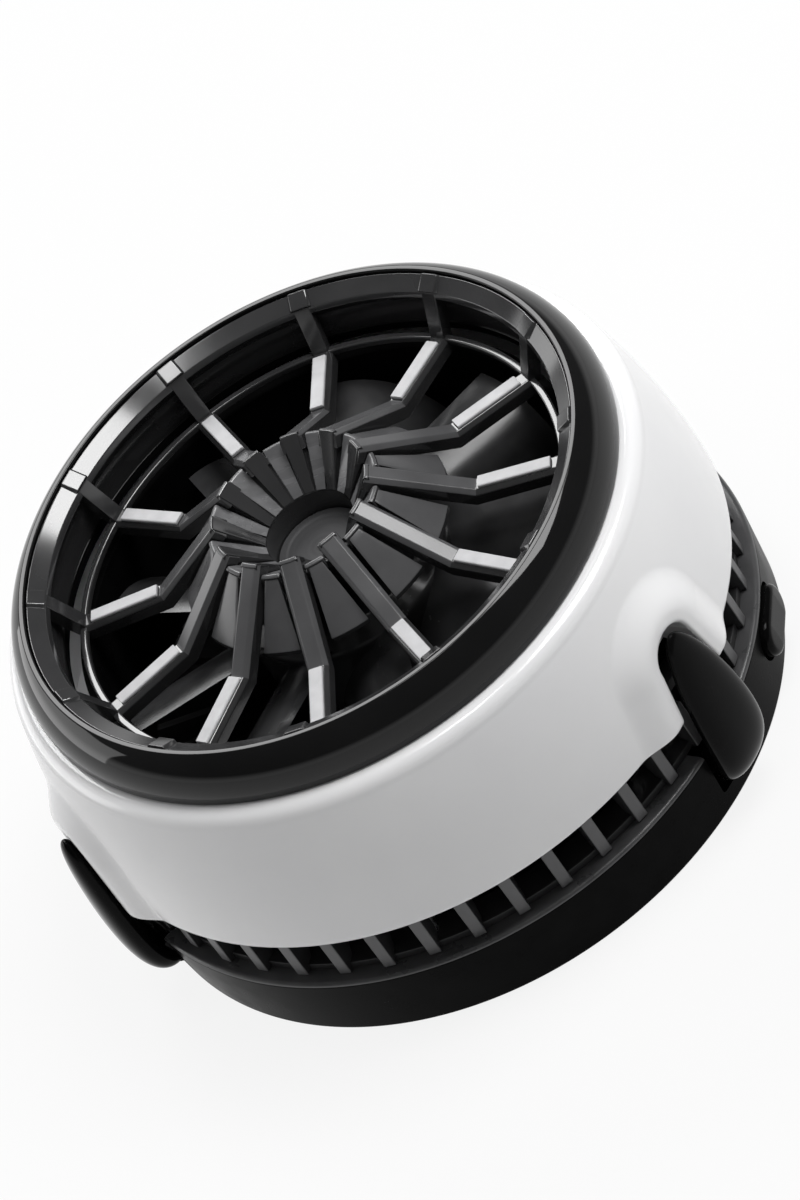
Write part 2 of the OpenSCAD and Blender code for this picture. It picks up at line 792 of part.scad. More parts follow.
// Finned heat sink behind the vent
module heat_sink() {
    fin_top_z = vent_top_z - sink_air_gap;
    color(steel) difference() {
        union() {
            post(cold_r, module_top_z, sink_floor_z);
            post(sink_r, sink_floor_z - sink_step_t, sink_floor_z);
            for (i = [0 : sink_fins - 1]) at(i * 360 / sink_fins + 45 / sink_fins, sink_core_r)
                translate([0, -fin_t / 2, sink_floor_z - eps])
                cube([sink_r - sink_core_r - fit, fin_t, fin_top_z - sink_floor_z + eps]);
        }
        for (a = sink_screw_a) at(a, sink_screw_r)
            post(sink_shank_r + running, module_top_z - eps, sink_floor_z - sink_step_t / 2);
    }
}

// Screw with a cylindrical head and a cross-shaped drive
module screw(head_r, shank_r, head_z, tip_z) {
    drive_w = 0.35;
    drive_l = head_r * 1.2;
    drive_depth = 0.5;
    difference() {
        post(head_r, head_z, head_z + screw_head_h);
        for (turn = [0, 90]) rotate([0, 0, turn])
            translate([-drive_l / 2, -drive_w / 2, head_z - eps]) cube([drive_l, drive_w, drive_depth]);
    }
    post(shank_r, head_z + screw_head_h - eps, tip_z);
}

// Four screws that clamp cold plate, module and heat sink
module sink_screws() {
    color(steel) for (a = sink_screw_a) at(a, sink_screw_r)
        screw(sink_head_r, sink_shank_r, pad_t, sink_floor_z - sink_step_t);
}

// Three long screws that clamp the case
module case_screws() {
    color(steel) for (a = case_screw_a) at(a, case_screw_r)
        screw(screw_head_r, screw_shank_r, screw_sink, ledge_top_z - 4 * fit);
}

// Shroud, flange, spider and bearing tube of the fan
module fan_frame() {
    shroud_top_z = skirt_z - moving;
    arm_w = 2.6;
    plate_r = hub_r - hub_wall;
    color(satin_black) difference() {
        union() {
            rotate_extrude() polygon([
                [shroud_r, vent_top_z], [inner_r, vent_top_z], [inner_r, flange_top_z],
                [shroud_r + shroud_t, flange_top_z], [shroud_r + shroud_t, shroud_top_z],
                [shroud_r, shroud_top_z]
            ]);
            post(plate_r, vent_top_z, flange_top_z);
            for (a = [45 : 90 : 315]) rotate([0, 0, a])
                translate([0, -arm_w / 2, vent_top_z]) cube([shroud_r + eps, arm_w, flange_t]);
            post(tube_r + tube_seat, flange_top_z - eps, stator_z);
            post(tube_r, flange_top_z - eps, tube_top_z);
        }
        post(bush_r + fit / 2, flange_top_z, tube_top_z + eps);
        for (a = case_screw_a) at(a, case_screw_r)
            post(screw_shank_r + fit, vent_top_z - eps, flange_top_z + eps);
        for (a = claw_a) at(a) outward(case_screw_r, far) notch_outline(-fit);
    }
}

// Sintered bush that carries the shaft
module bearing() {
    color(copper) ring(bush_r, shaft_r + running, flange_top_z + thrust_t, tube_top_z - 2 * fit);
}

// Wear disc under the shaft's end
module thrust_pad() {
    color(white) post(bush_r - fit, flange_top_z, flange_top_z + thrust_t);
}

// Laminated stator with its poles
module stator_core() {
    color(steel) translate([0, 0, stator_z]) linear_extrude(height = stator_h) difference() {
        union() {
            circle(r = tube_r + fit / 2 + yoke_t);
            for (i = [0 : pole_count - 1]) rotate([0, 0, i * 360 / pole_count])
                translate([0, -pole_w / 2]) square([stator_r - pole_tip_t / 2, pole_w]);
            intersection() {
                difference() {
                    circle(r = stator_r);
                    circle(r = stator_r - pole_tip_t);
                }
                sectors(pole_count, 2 * stator_r, 90 / pole_count);
            }
        }
        circle(r = tube_r + fit / 2);
    }
}

// One winding on each pole
module stator_coils() {
    low_r = tube_r + fit / 2 + yoke_t + fit;
    high_r = stator_r - pole_tip_t - 2 * fit;
    coil_t = 0.8;
    coil_w = pole_w + 2 * coil_t;
    color(copper) for (i = [0 : pole_count - 1]) rotate([0, 0, i * 360 / pole_count]) difference() {
        translate([low_r, -coil_w / 2, stator_z - coil_end_h + fit])
            cube([high_r - low_r, coil_w, stator_h + 2 * coil_end_h - 2 * fit]);
        translate([0, -pole_w / 2 - running, stator_z - running])
            cube([far, pole_w + 2 * running, stator_h + 2 * running]);
    }
}

// Steel shaft pressed into the impeller
module motor_shaft() {
    color(steel) post(shaft_r, flange_top_z + thrust_t + running, impeller_top_z - hub_top_t / 2);
}

// Ring magnet inside the impeller's hub
module rotor_magnet() {
    out_r = hub_r - hub_wall - fit / 2;
    low_z = impeller_z + 2 * fit;
    color(smoke) ring(out_r, stator_r + air_gap, low_z, stator_z + stator_h + air_gap);
}

// One curved blade along X, as an arc section drawn out from the hub
module blade() {
    sag = blade_chord / 9;
    middle = (impeller_z + impeller_top_z) / 2;
    reach = [cos(blade_pitch), sin(blade_pitch)] * blade_chord / 2;
    upper = arc(reach, -reach, sag + blade_t / 2, 8);
    lower = arc(-reach, reach, -sag + blade_t / 2, 8);
    outward(hub_r - hub_wall / 2, far) translate([0, middle]) polygon(concat(upper, lower));
}

// Fan wheel with its hub
module impeller() {
    bore_r = shaft_r + fit / 5;
    boss_r = shaft_r + 1.2;
    boss_h = 1.2;
    shoulder_w = 2;
    shoulder_h = 1.4;
    inner_w = 2.4;
    inner_h = 0.8;
    bore_top_z = impeller_top_z - hub_top_t / 2;
    under_z = impeller_top_z - hub_top_t;
    color(smoke) {
        rotate_extrude() polygon([
            [bore_r, under_z - boss_h], [bore_r, bore_top_z], [0, bore_top_z], [0, impeller_top_z],
            [hub_r - shoulder_w, impeller_top_z], [hub_r, impeller_top_z - shoulder_h], [hub_r, impeller_z],
            [hub_r - hub_wall, impeller_z], [hub_r - hub_wall, under_z - inner_h],
            [hub_r - inner_w, under_z], [boss_r, under_z], [boss_r, under_z - boss_h]
        ]);
        intersection() {
            ring(tip_r, hub_r - hub_wall / 2, impeller_z, impeller_top_z);
            for (i = [0 : blades - 1]) at(i * 360 / blades) blade();
        }
    }
}

// Curved board in the base, under switch and socket, cut out behind the button
module circuit_board() {
    middle_a = (board_from_a + board_to_a) / 2;
    cut_w = button_flange_l + 2 * moving;
    color(board_green) difference() {
        intersection() {
            ring(board_out_r, board_in_r, board_z, board_top_z);
            linear_extrude(height = far) polygon([
                [0, 0], far * [cos(board_from_a), sin(board_from_a)],
                far * 1.5 * [cos(middle_a), sin(middle_a)], far * [cos(board_to_a), sin(board_to_a)]
            ]);
        }
        at(button_a, button_flange_x - button_travel - moving)
            translate([0, -cut_w / 2, 0]) cube([far, cut_w, far]);
    }
}

// Power socket with its tongue
module usb_socket() {
    mouth_x = rim_r - usb_recess;
    back_x = mouth_x - usb_l;
    color(steel) at(usb_a) translate([0, 0, usb_z]) {
        difference() {
            outward(back_x, mouth_x) capsule(usb_w, usb_h);
            outward(back_x + 1, mouth_x + eps) capsule(usb_w - 2 * usb_wall, usb_h - 2 * usb_wall);
        }
        translate([back_x + 1 - eps, -tongue_w / 2, -tongue_t / 2]) cube([tongue_l, tongue_w, tongue_t]);
    }
}

// Right-angle switch on the board
module tact_switch() {
    color(steel) at(button_a) difference() {
        translate([switch_x, -switch_w / 2, board_top_z]) cube([switch_l, switch_w, switch_h]);
        translate([switch_x + switch_back, 0, button_z]) rotate([0, 90, 0])
            cylinder(r = plunger_r + running, h = switch_l);
    }
}

// Plunger that the button pushes into the switch
module switch_plunger() {
    color(smoke) at(button_a) translate([button_flange_x - plunger_l, 0, button_z]) rotate([0, 90, 0])
        cylinder(r = plunger_r, h = plunger_l);
}

// Capsule button with retaining ears at both ends
module power_button() {
    color(black) at(button_a) {
        outward(button_flange_x, button_flange_x + button_flange_t)
            translate([0, button_z]) capsule(button_flange_l, button_h);
        intersection() {
            outward(button_flange_x, far) translate([0, button_z]) capsule(button_l, button_h);
            post(button_r, 0, base_h);
        }
    }
}

// Rings of the claw's skin along its curve
function claw_rings() =
    let (a = [hinge_r + fit, hinge_z], b = [rim_r + claw_bend_out, claw_bend_z])
    let (c = [rim_r + claw_belly_out, claw_belly_z], d = [rim_r + claw_tip_out, claw_tip_z], h = 0.002)
    [for (i = [0 : claw_stations - 1])
        let (t = claw_end * sin(90 * i / (claw_stations - 1)), rounding = sqrt(1 - pow(t, 8)))
        let (p = cubic(a, b, c, d, t), q = cubic(a, b, c, d, t + h))
        let (u = (q - p) / norm(q - p), n = [u[1], -u[0]])
        let (thick = (claw_tip_t + (claw_root_t - claw_tip_t) * (1 - t)) * rounding)
        let (wide = (claw_root_w * (1 - t) + claw_tip_w * t + claw_belly_w * sin(180 * t)) * rounding)
        for (j = [0 : claw_sides - 1])
            let (g = 360 * j / claw_sides)
            let (s = wide * spow(cos(g), claw_squareness), e = thick * spow(sin(g), claw_squareness))
            [p[0] + n[0] * e, s, p[1] + n[1] * e]];

// Curved claw with the knuckle that turns on its pin
module claw(angle) {
    color(black) at(angle) difference() {
        union() {
            polyhedron(points = claw_rings(), faces = skin(claw_stations, claw_sides));
            translate([hinge_r, -claw_root_w, hinge_z]) rotate([-90, 0, 0])
                cylinder(r = knuckle_r, h = 2 * claw_root_w);
        }
        translate([hinge_r, -far / 2, hinge_z]) rotate([-90, 0, 0])
            cylinder(r = pin_r + running, h = far);
        translate([hinge_r, -spring_slot_w, hinge_z]) rotate([-90, 0, 0])
            cylinder(r = spring_slot_r, h = 2 * spring_slot_w);
        translate([hinge_r - knuckle_r - 1, -spring_slot_w, hinge_z - spring_slot_r])
            cube([knuckle_r + 1, 2 * spring_slot_w, 2 * spring_slot_r]);
    }
}

module claw_1() {
    claw(claw_a[0]);
}

module claw_2() {
    claw(claw_a[1]);
}

module claw_3() {
    claw(claw_a[2]);
}

// Pins pressed into the base ring on both sides of each claw
module hinge_pins() {
    color(steel) for (a = claw_a) at(a)
        translate([hinge_r, -pin_l / 2, hinge_z]) rotate([-90, 0, 0]) cylinder(r = pin_r, h = pin_l);
}

// Rings of a torsion spring: a straight leg at the pocket's wall, then the coil round the pin
function spring_rings(sides) =
    let (turn_rings = 12, coil = spring_turns * turn_rings, leg = 2)
    let (leg_l = hinge_r - pocket_r - 0.1, half = spring_turns * spring_pitch / 2)
    let (path = concat(
        [for (i = [0 : leg - 1]) [-leg_l * (1 - i / leg), -half, spring_r]],
        [for (i = [0 : coil]) let (g = 360 * i / turn_rings)
            [spring_r * sin(g), -half + spring_pitch * i / turn_rings, spring_r * cos(g)]]))
    [for (i = [0 : len(path) - 1])
        let (before = path[max(i - 1, 0)], after = path[min(i + 1, len(path) - 1)])
        let (u = (after - before) / norm(after - before), side = cross([0, 1, 0], u))
        let (v = side / norm(side), w = cross(u, v))
        for (j = [0 : sides - 1]) let (g = 360 * j / sides)
            path[i] + spring_wire_r * (v * cos(g) + w * sin(g))];

// Return springs of the claws
module claw_springs() {
    sides = 6;
    rings = spring_rings(sides);
    color(steel) for (a = claw_a) at(a) translate([hinge_r, 0, hinge_z])
        polyhedron(points = rings, faces = skin(len(rings) / sides, sides));
}

bezel_ring();
grille_wheel();
spoke_inserts();
hub_cap();
outer_shell();
vent_ring();
base_ring();
base_plate();
contact_pad();
cold_plate();
magnet_ring();
gasket();
peltier_module();
heat_sink();
sink_screws();
case_screws();
fan_frame();
bearing();
thrust_pad();
stator_core();
stator_coils();
motor_shaft();
rotor_magnet();
impeller();
circuit_board();
usb_socket();
tact_switch();
switch_plunger();
power_button();
claw_1();
claw_2();
claw_3();
hinge_pins();
claw_springs();
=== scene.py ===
"""Studio scene of a round magnetic phone cooler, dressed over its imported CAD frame.

Sizes in the classes are in millimetres and repeat the part's own sizes. Meshes are made in
millimetres, in the frame of the part, and scaled to metres when they become objects.
"""
import logging
import math
from dataclasses import dataclass, field
from enum import Enum
from typing import Any, Iterable, Sequence

import bmesh
import bpy
from mathutils import Matrix, Quaternion, Vector


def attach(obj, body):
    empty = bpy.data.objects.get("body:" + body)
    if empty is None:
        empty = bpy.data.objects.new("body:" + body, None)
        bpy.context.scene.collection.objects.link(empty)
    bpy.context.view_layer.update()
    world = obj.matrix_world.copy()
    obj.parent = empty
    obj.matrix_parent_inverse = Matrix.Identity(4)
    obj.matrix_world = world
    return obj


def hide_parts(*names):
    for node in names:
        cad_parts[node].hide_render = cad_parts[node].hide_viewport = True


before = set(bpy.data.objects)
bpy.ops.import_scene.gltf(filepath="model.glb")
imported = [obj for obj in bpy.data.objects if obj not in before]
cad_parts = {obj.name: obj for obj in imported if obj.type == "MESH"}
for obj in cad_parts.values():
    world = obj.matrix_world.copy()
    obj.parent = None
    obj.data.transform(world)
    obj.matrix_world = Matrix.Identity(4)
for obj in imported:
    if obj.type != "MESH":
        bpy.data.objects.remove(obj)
log = logging.getLogger("phone_cooler")

MM = 0.001
Point = tuple[float, float]
Corner = tuple[float, float, float]
Colour = tuple[float, float, float]
Place = tuple[float, float, float]


def arc(p: Point, q: Point, sag: float, steps: int) -> list[Point]:
    """Points of an arc between two points.

    Args:
        p: Start of the arc.
        q: End of the arc.
        sag: How far the arc bulges to the right of the line from p to q.
        steps: Number of steps along the arc.

    Returns:
        The points, both ends among them.
    """
    chord = math.hypot(q[0] - p[0], q[1] - p[1])
    ux, uy = (q[0] - p[0]) / chord, (q[1] - p[1]) / chord
    nx, ny = uy, -ux
    radius = (chord * chord / 4 + sag * sag) / (2 * sag)
    half = math.asin(chord / (2 * radius))
    cx = (p[0] + q[0]) / 2 + nx * (sag - radius)
    cy = (p[1] + q[1]) / 2 + ny * (sag - radius)
    turns = [-half + 2 * half * i / steps for i in range(steps + 1)]
    spots = [(radius * math.cos(t), radius * math.sin(t)) for t in turns]
    return [(cx + nx * a + ux * b, cy + ny * a + uy * b) for a, b in spots]


def rounded(corners: Sequence[Corner], steps: int = 5) -> list[Point]:
    """Rounds the corners of a closed outline.

    Args:
        corners: Each corner's two coordinates and its rounding radius, zero for a sharp one.
        steps: Number of steps round each rounded corner.

    Returns:
        The points of the rounded outline.
    """
    out: list[Point] = []
    for i, (x, y, radius) in enumerate(corners):
        here = Vector((x, y))
        back = Vector(corners[i - 1][:2]) - here
        ahead = Vector(corners[(i + 1) % len(corners)][:2]) - here
        if radius <= 0:
            out.append((x, y))
            continue
        cut = min(radius / math.tan(back.angle(ahead) / 2), 0.49 * back.length, 0.49 * ahead.length)
        start, end = here + back.normalized() * cut, here + ahead.normalized() * cut
        for k in range(steps + 1):
            t = k / steps
            at = start * (1 - t) ** 2 + here * (2 * t * (1 - t)) + end * t ** 2
            out.append((at.x, at.y))
    return out


def smoothstep(low: float, high: float, value: float) -> float:
    """Rises smoothly from 0 at low to 1 at high."""
    t = min(max((value - low) / (high - low), 0.0), 1.0)
    return t * t * (3 - 2 * t)


def capsule(length: float, height: float, inset: float = 0.0, steps: int = 14) -> list[Point]:
    """Outline of a flat capsule.

    Args:
        length: Length across.
        height: Height, which is also the width of the round ends.
        inset: Distance that the outline is drawn in on all sides.
        steps: Steps round each end.

    Returns:
        The outline's points, across and up from the middle.
    """
    end_r = max(height / 2 - inset, 0.01)
    middle = (length - height) / 2
    right = [(middle + end_r * math.cos(t), end_r * math.sin(t))
             for t in (math.pi * (k / steps - 0.5) for k in range(steps + 1))]
    return right + [(-x, -y) for x, y in right]


def even(count: int, first: float = 0.0) -> list[float]:
    """Angles in even steps round the circle, in degrees."""
    return [first + 360 * i / count for i in range(count)]


def circle(x: float, y: float, radius: float, steps: int) -> list[Point]:
    """Points of a circle round a middle."""
    turns = [math.tau * k / steps for k in range(steps)]
    return [(x + radius * math.cos(t), y + radius * math.sin(t)) for t in turns]


def polar(radius: float, turn: float, height: float) -> Place:
    """Point at a radius and a height, turned from the X axis by an angle in radians."""
    return radius * math.cos(turn), radius * math.sin(turn), height


class Shape:
    """A mesh in the making: points in millimetres and faces between them."""

    def __init__(self) -> None:
        """Starts an empty shape."""
        self.points: list[Vector] = []
        self.faces: list[tuple[int, ...]] = []

    def add(self, points: Iterable[Sequence[float]], faces: Iterable[Sequence[int]]) -> "Shape":
        """Adds points and faces.

        Args:
            points: New points.
            faces: Faces over the new points, counted from zero.

        Returns:
            This shape.
        """
        start = len(self.points)
        self.points.extend(Vector(p) for p in points)
        for face in faces:
            kept = tuple(dict.fromkeys(start + i for i in face))
            if len(kept) > 2:
                self.faces.append(kept)
        return self

    def join(self, *others: "Shape") -> "Shape":
        """Adds other shapes to this one and returns it."""
        for other in others:
            self.add(other.points, other.faces)
        return self

    def lathe(self, profile: Sequence[Point], steps: int | Sequence[float] = 240) -> "Shape":
        """Turns a closed profile round the fan axis.

        Args:
            profile: Radius and height of each point. A radius of zero makes a pole.
            steps: Number of even steps, or the angles of the steps in degrees.

        Returns:
            This shape.
        """
        angles = even(steps) if isinstance(steps, int) else list(steps)
        points: list[Vector] = []
        index: list[list[int]] = []
        for radius, height in profile:
            if radius < 1e-6:
                points.append(Vector((0, 0, height)))
                index.append([len(points) - 1] * len(angles))
                continue
            index.append(list(range(len(points), len(points) + len(angles))))
            points += [Vector(polar(radius, math.radians(angle), height)) for angle in angles]
        faces = []
        for i, row in enumerate(index):
            above = index[(i + 1) % len(index)]
            for j in range(len(angles)):
                k = (j + 1) % len(angles)
                faces.append((row[j], row[k], above[k], above[j]))
        return self.add(points, faces)

    def loft(self, rings: Sequence[Sequence[Sequence[float]]]) -> "Shape":
        """Skins a stack of closed rings and caps both ends.

        Args:
            rings: The rings, each with the same number of points.

        Returns:
            This shape.
        """
        count = len(rings[0])
        faces: list[tuple[int, ...]] = []
        for i in range(len(rings) - 1):
            for j in range(count):
                k = (j + 1) % count
                faces.append((i * count + j, i * count + k, (i + 1) * count + k, (i + 1) * count + j))
        faces.append(tuple(reversed(range(count))))
        faces.append(tuple(range((len(rings) - 1) * count, len(rings) * count)))
        return self.add([p for ring in rings for p in ring], faces)

    def across(self, outline: Sequence[Point], width: float) -> "Shape":
        """Extrudes an outline of radius and height evenly to both sides of the X axis."""
        return self.loft([[(r, side * width / 2, z) for r, z in outline] for side in (-1, 1)])

    def outward(self, outline: Sequence[Point], low: float, high: float) -> "Shape":
        """Extrudes an outline drawn across and up along the X axis."""
        return self.loft([[(x, y, z) for y, z in outline] for x in (low, high)])

    def sweep(self, path: Sequence[Point], section: Sequence[Point]) -> "Shape":
        """Draws a bar along a path in radius and height, mitred at its bends.

        Args:
            path: Points of the bar's top line, from the inside out.
            section: Points across and above the top line.

        Returns:
            This shape.
        """
        rings = []
        for i, (r, z) in enumerate(path):
            before, after = path[max(i - 1, 0)], path[min(i + 1, len(path) - 1)]
            sides = []
            for a, b in ((before, (r, z)), ((r, z), after)):
                if a != b:
                    run = Vector((b[0] - a[0], b[1] - a[1])).normalized()
                    sides.append(Vector((-run.y, run.x)))
            normal = (sides[0] + sides[-1]).normalized()
            normal /= normal.dot(sides[0])
            rings.append([(r + e * normal.x, s, z + e * normal.y) for s, e in section])
        return self.loft(rings)

    def bevelled(self, width: float, segments: int = 2, crease: float = 30.0) -> "Shape":
        """Rounds the sharp edges.

        Args:
            width: Width of the rounding.
            segments: Steps round each edge.
            crease: Least angle of an edge that counts as sharp, in degrees.

        Returns:
            A new shape.
        """
        work = self.to_bmesh()
        limit = math.radians(crease)
        edges = [e for e in work.edges if len(e.link_faces) == 2 and e.calc_face_angle(0.0) > limit]
        bmesh.ops.bevel(work, geom=edges, offset=width, offset_type="OFFSET", segments=segments,
                        profile=0.5, affect="EDGES", clamp_overlap=True)
        work.verts.index_update()
        done = Shape().add([v.co for v in work.verts], [[v.index for v in f.verts] for f in work.faces])
        work.free()
        return done

    def turned(self, *angles: float) -> "Shape":
        """Copies turned round the fan axis.

        Args:
            angles: The angles in degrees.

        Returns:
            A new shape with one copy for each angle.
        """
        done = Shape()
        for angle in angles:
            turn = Matrix.Rotation(math.radians(angle), 3, "Z")
            done.add([turn @ p for p in self.points], self.faces)
        return done

    def to_bmesh(self) -> bmesh.types.BMesh:
        """The shape as a bmesh whose faces all point outwards."""
        work = bmesh.new()
        corners = [work.verts.new(p) for p in self.points]
        for face in self.faces:
            work.faces.new([corners[i] for i in face])
        bmesh.ops.recalc_face_normals(work, faces=work.faces)
        work.normal_update()
        return work

    def to_object(self, name: str) -> bpy.types.Object:
        """Makes a Blender object of the shape, in metres.

        Args:
            name: Name of the object and its mesh.

        Returns:
            The linked object.
        """
        mesh = bpy.data.meshes.new(name)
        work = self.to_bmesh()
        bmesh.ops.scale(work, vec=(MM, MM, MM), verts=work.verts)
        work.to_mesh(mesh)
        work.free()
        made = bpy.data.objects.new(name, mesh)
        bpy.context.scene.collection.objects.link(made)
        return made


def carve(target: bpy.types.Object, tool: Shape, operation: str = "DIFFERENCE") -> None:
    """Cuts a shape out of an object, or joins it on.

    Args:
        target: Object to change.
        tool: Shape to cut with or to join.
        operation: Name of Blender's boolean operation.
    """
    cutter = tool.to_object("cutter")
    step = target.modifiers.new("carve", "BOOLEAN")
    step.operation, step.solver, step.object = operation, "EXACT", cutter
    graph = bpy.context.evaluated_depsgraph_get()
    done = bpy.data.meshes.new_from_object(target.evaluated_get(graph))
    target.modifiers.clear()
    old, target.data = target.data, done
    done.name = target.name
    bpy.data.meshes.remove(old)
    bpy.data.objects.remove(cutter)


class Sketch:
    """Short way to add nodes to a node tree."""

    def __init__(self, tree: bpy.types.NodeTree) -> None:
        """Keeps the tree that nodes are added to."""
        self.tree = tree

    @classmethod
    def fresh(cls, block: bpy.types.ID) -> "Sketch":
        """Empties the node tree of a material or a world, to draw in it.

        Args:
            block: The material or the world.

        Returns:
            The sketch of its tree.
        """
        block.use_nodes = True
        block.node_tree.nodes.clear()
        return cls(block.node_tree)

    def add(self, kind: str, inputs: dict[Any, Any] | None = None, **settings: Any) -> bpy.types.Node:
        """Adds one node.

        Args:
            kind: Type of the node.
            inputs: Values or other nodes' outputs for the node's inputs, by name or number.
            settings: Attributes of the node.

        Returns:
            The new node.
        """
        node = self.tree.nodes.new(kind)
        for key, value in settings.items():
            setattr(node, key, value)
        for key, value in (inputs or {}).items():
            if isinstance(value, bpy.types.NodeSocket):
                self.tree.links.new(value, node.inputs[key])
            else:
                node.inputs[key].default_value = value
        return node

    def math(self, operation: str, a: Any, b: Any = 0.0) -> bpy.types.NodeSocket:
        """Adds a math node and returns its result."""
        return self.add("ShaderNodeMath", {0: a, 1: b}, operation=operation).outputs[0]


class Texture(Enum):
    """Kinds of surface texture."""

    MOULDED = "moulded grain"
    POLISHED = "polished ripple"
    TURNED = "turned rings"
    BRUSHED = "brushed lines"
    WOUND = "wound wire"
    SOFT = "soft pores"


class TextureGroups:
    """Shader node groups, each built once, that give a mask and a height over a surface."""

    def __init__(self) -> None:
        """Starts with no group built."""
        self._built: dict[Texture, bpy.types.NodeTree] = {}

    def get(self, texture: Texture) -> bpy.types.NodeTree:
        """Builds a texture's group the first time it is asked for.

        Args:
            texture: Kind of texture.

        Returns:
            The group, with inputs Vector and Size and outputs Mask and Height.
        """
        if texture in self._built:
            return self._built[texture]
        tree = bpy.data.node_groups.new(texture.value, "ShaderNodeTree")
        tree.interface.new_socket("Vector", in_out="INPUT", socket_type="NodeSocketVector")
        size = tree.interface.new_socket("Size", in_out="INPUT", socket_type="NodeSocketFloat")
        size.default_value = MM
        tree.interface.new_socket("Mask", in_out="OUTPUT", socket_type="NodeSocketFloat")
        tree.interface.new_socket("Height", in_out="OUTPUT", socket_type="NodeSocketFloat")
        sketch = Sketch(tree)
        source = sketch.add("NodeGroupInput")
        scale = sketch.math("DIVIDE", 1.0, source.outputs["Size"])
        place = sketch.add("ShaderNodeVectorMath", {0: source.outputs["Vector"], "Scale": scale},
                           operation="SCALE")
        builder = {
            Texture.MOULDED: self._moulded, Texture.POLISHED: self._polished, Texture.TURNED: self._turned,
            Texture.BRUSHED: self._brushed, Texture.WOUND: self._wound, Texture.SOFT: self._soft,
        }[texture]
        mask, height = builder(sketch, place.outputs[0])
        sketch.add("NodeGroupOutput", {"Mask": mask, "Height": height})
        self._built[texture] = tree
        return tree

    @staticmethod
    def _noise(sketch: Sketch, place: Any, scale: float, detail: float) -> bpy.types.NodeSocket:
        """Adds a noise and returns its value."""
        node = sketch.add("ShaderNodeTexNoise", {"Vector": place, "Scale": scale, "Detail": detail})
        return node.outputs["Fac"]

    def _moulded(self, sketch: Sketch, place: Any) -> tuple[Any, Any]:
        """Fine grain with broad patches, as mask and height."""
        return self._noise(sketch, place, 0.08, 4.0), self._noise(sketch, place, 1.0, 3.0)

    def _polished(self, sketch: Sketch, place: Any) -> tuple[Any, Any]:
        """Faint long ripple under broad patches, as mask and height."""
        return self._noise(sketch, place, 0.3, 5.0), self._noise(sketch, place, 0.6, 1.0)

    def _turned(self, sketch: Sketch, place: Any) -> tuple[Any, Any]:
        """Rings round the fan axis, as mask and height."""
        parts = sketch.add("ShaderNodeSeparateXYZ", {0: place})
        flat = sketch.add("ShaderNodeCombineXYZ", {"X": parts.outputs["X"], "Y": parts.outputs["Y"]})
        radius = sketch.add("ShaderNodeVectorMath", {0: flat.outputs[0]}, operation="LENGTH")
        line = sketch.add("ShaderNodeCombineXYZ", {
            "X": radius.outputs["Value"], "Y": parts.outputs["Z"]}).outputs[0]
        return self._noise(sketch, line, 0.7, 4.0), self._noise(sketch, line, 2.0, 2.0)

    def _brushed(self, sketch: Sketch, place: Any) -> tuple[Any, Any]:
        """Long fine lines, as mask and height."""
        stretch = sketch.add("ShaderNodeVectorMath", {0: place, 1: (0.04, 1.0, 1.0)}, operation="MULTIPLY")
        long = stretch.outputs[0]
        return self._noise(sketch, long, 0.8, 5.0), self._noise(sketch, long, 2.5, 3.0)

    def _wound(self, sketch: Sketch, place: Any) -> tuple[Any, Any]:
        """Turns of wire one above the other, as mask and height."""
        turns = sketch.add("ShaderNodeTexWave", {"Vector": place, "Scale": 0.32, "Distortion": 0.3},
                           bands_direction="Z").outputs["Fac"]
        return self._noise(sketch, place, 0.4, 4.0), turns

    def _soft(self, sketch: Sketch, place: Any) -> tuple[Any, Any]:
        """Pores and soft patches, as mask and height."""
        pores = sketch.add("ShaderNodeTexVoronoi", {"Vector": place, "Scale": 1.0}).outputs["Distance"]
        return self._noise(sketch, place, 0.2, 5.0), pores


GROUPS = TextureGroups()

TINT_STOPS = (0.32, 0.68)
ROUGH_SPAN = (0.3, 0.7)
BUMP_DEPTH = 0.05 * MM
COAT_ROUGHNESS = 0.04


@dataclass(frozen=True)
class Finish:
    """One surface finish, with the values of its material."""

    name: str
    slot: str
    low: Colour
    high: Colour
    rough: Point
    texture: Texture
    size: float
    bump: float
    metallic: float = 0.0
    specular: float = 0.5
    coat: float = 0.0

    def material(self) -> bpy.types.Material:
        """Builds the node material, or finds it if it is already built.

        Returns:
            The finish's material.
        """
        found = bpy.data.materials.get(self.name)
        if found:
            return found
        made = bpy.data.materials.new(self.name)
        sketch = Sketch.fresh(made)
        place = sketch.add("ShaderNodeTexCoord").outputs["Object"]
        grain = sketch.add("ShaderNodeGroup", {"Vector": place, "Size": self.size * MM},
                           node_tree=GROUPS.get(self.texture))
        mask = grain.outputs["Mask"]
        ramp = sketch.add("ShaderNodeValToRGB", {"Fac": mask})
        for stop, at, tint in zip(ramp.color_ramp.elements, TINT_STOPS, (self.low, self.high)):
            stop.position, stop.color = at, (*tint, 1.0)
        rough = sketch.add("ShaderNodeMapRange", {
            "Value": mask, "From Min": ROUGH_SPAN[0], "From Max": ROUGH_SPAN[1],
            "To Min": self.rough[0], "To Max": self.rough[1]})
        bump = sketch.add("ShaderNodeBump", {
            "Height": grain.outputs["Height"], "Strength": self.bump, "Distance": BUMP_DEPTH})
        surface = sketch.add("ShaderNodeBsdfPrincipled", {
            "Base Color": ramp.outputs[0], "Roughness": rough.outputs[0], "Normal": bump.outputs[0],
            "Metallic": self.metallic, "Specular IOR Level": self.specular, "Coat Weight": self.coat,
            "Coat Roughness": COAT_ROUGHNESS})
        sketch.add("ShaderNodeOutputMaterial", {"Surface": surface.outputs[0]})
        made.diffuse_color = (*self.high, 1.0)
        return made


def grey(low: float, high: float, blue: float = 1.03) -> tuple[Colour, Colour]:
    """Two neutral tints with a touch of blue, as the low and high tint of a finish."""
    return (low, low, low * blue), (high, high, high * blue)


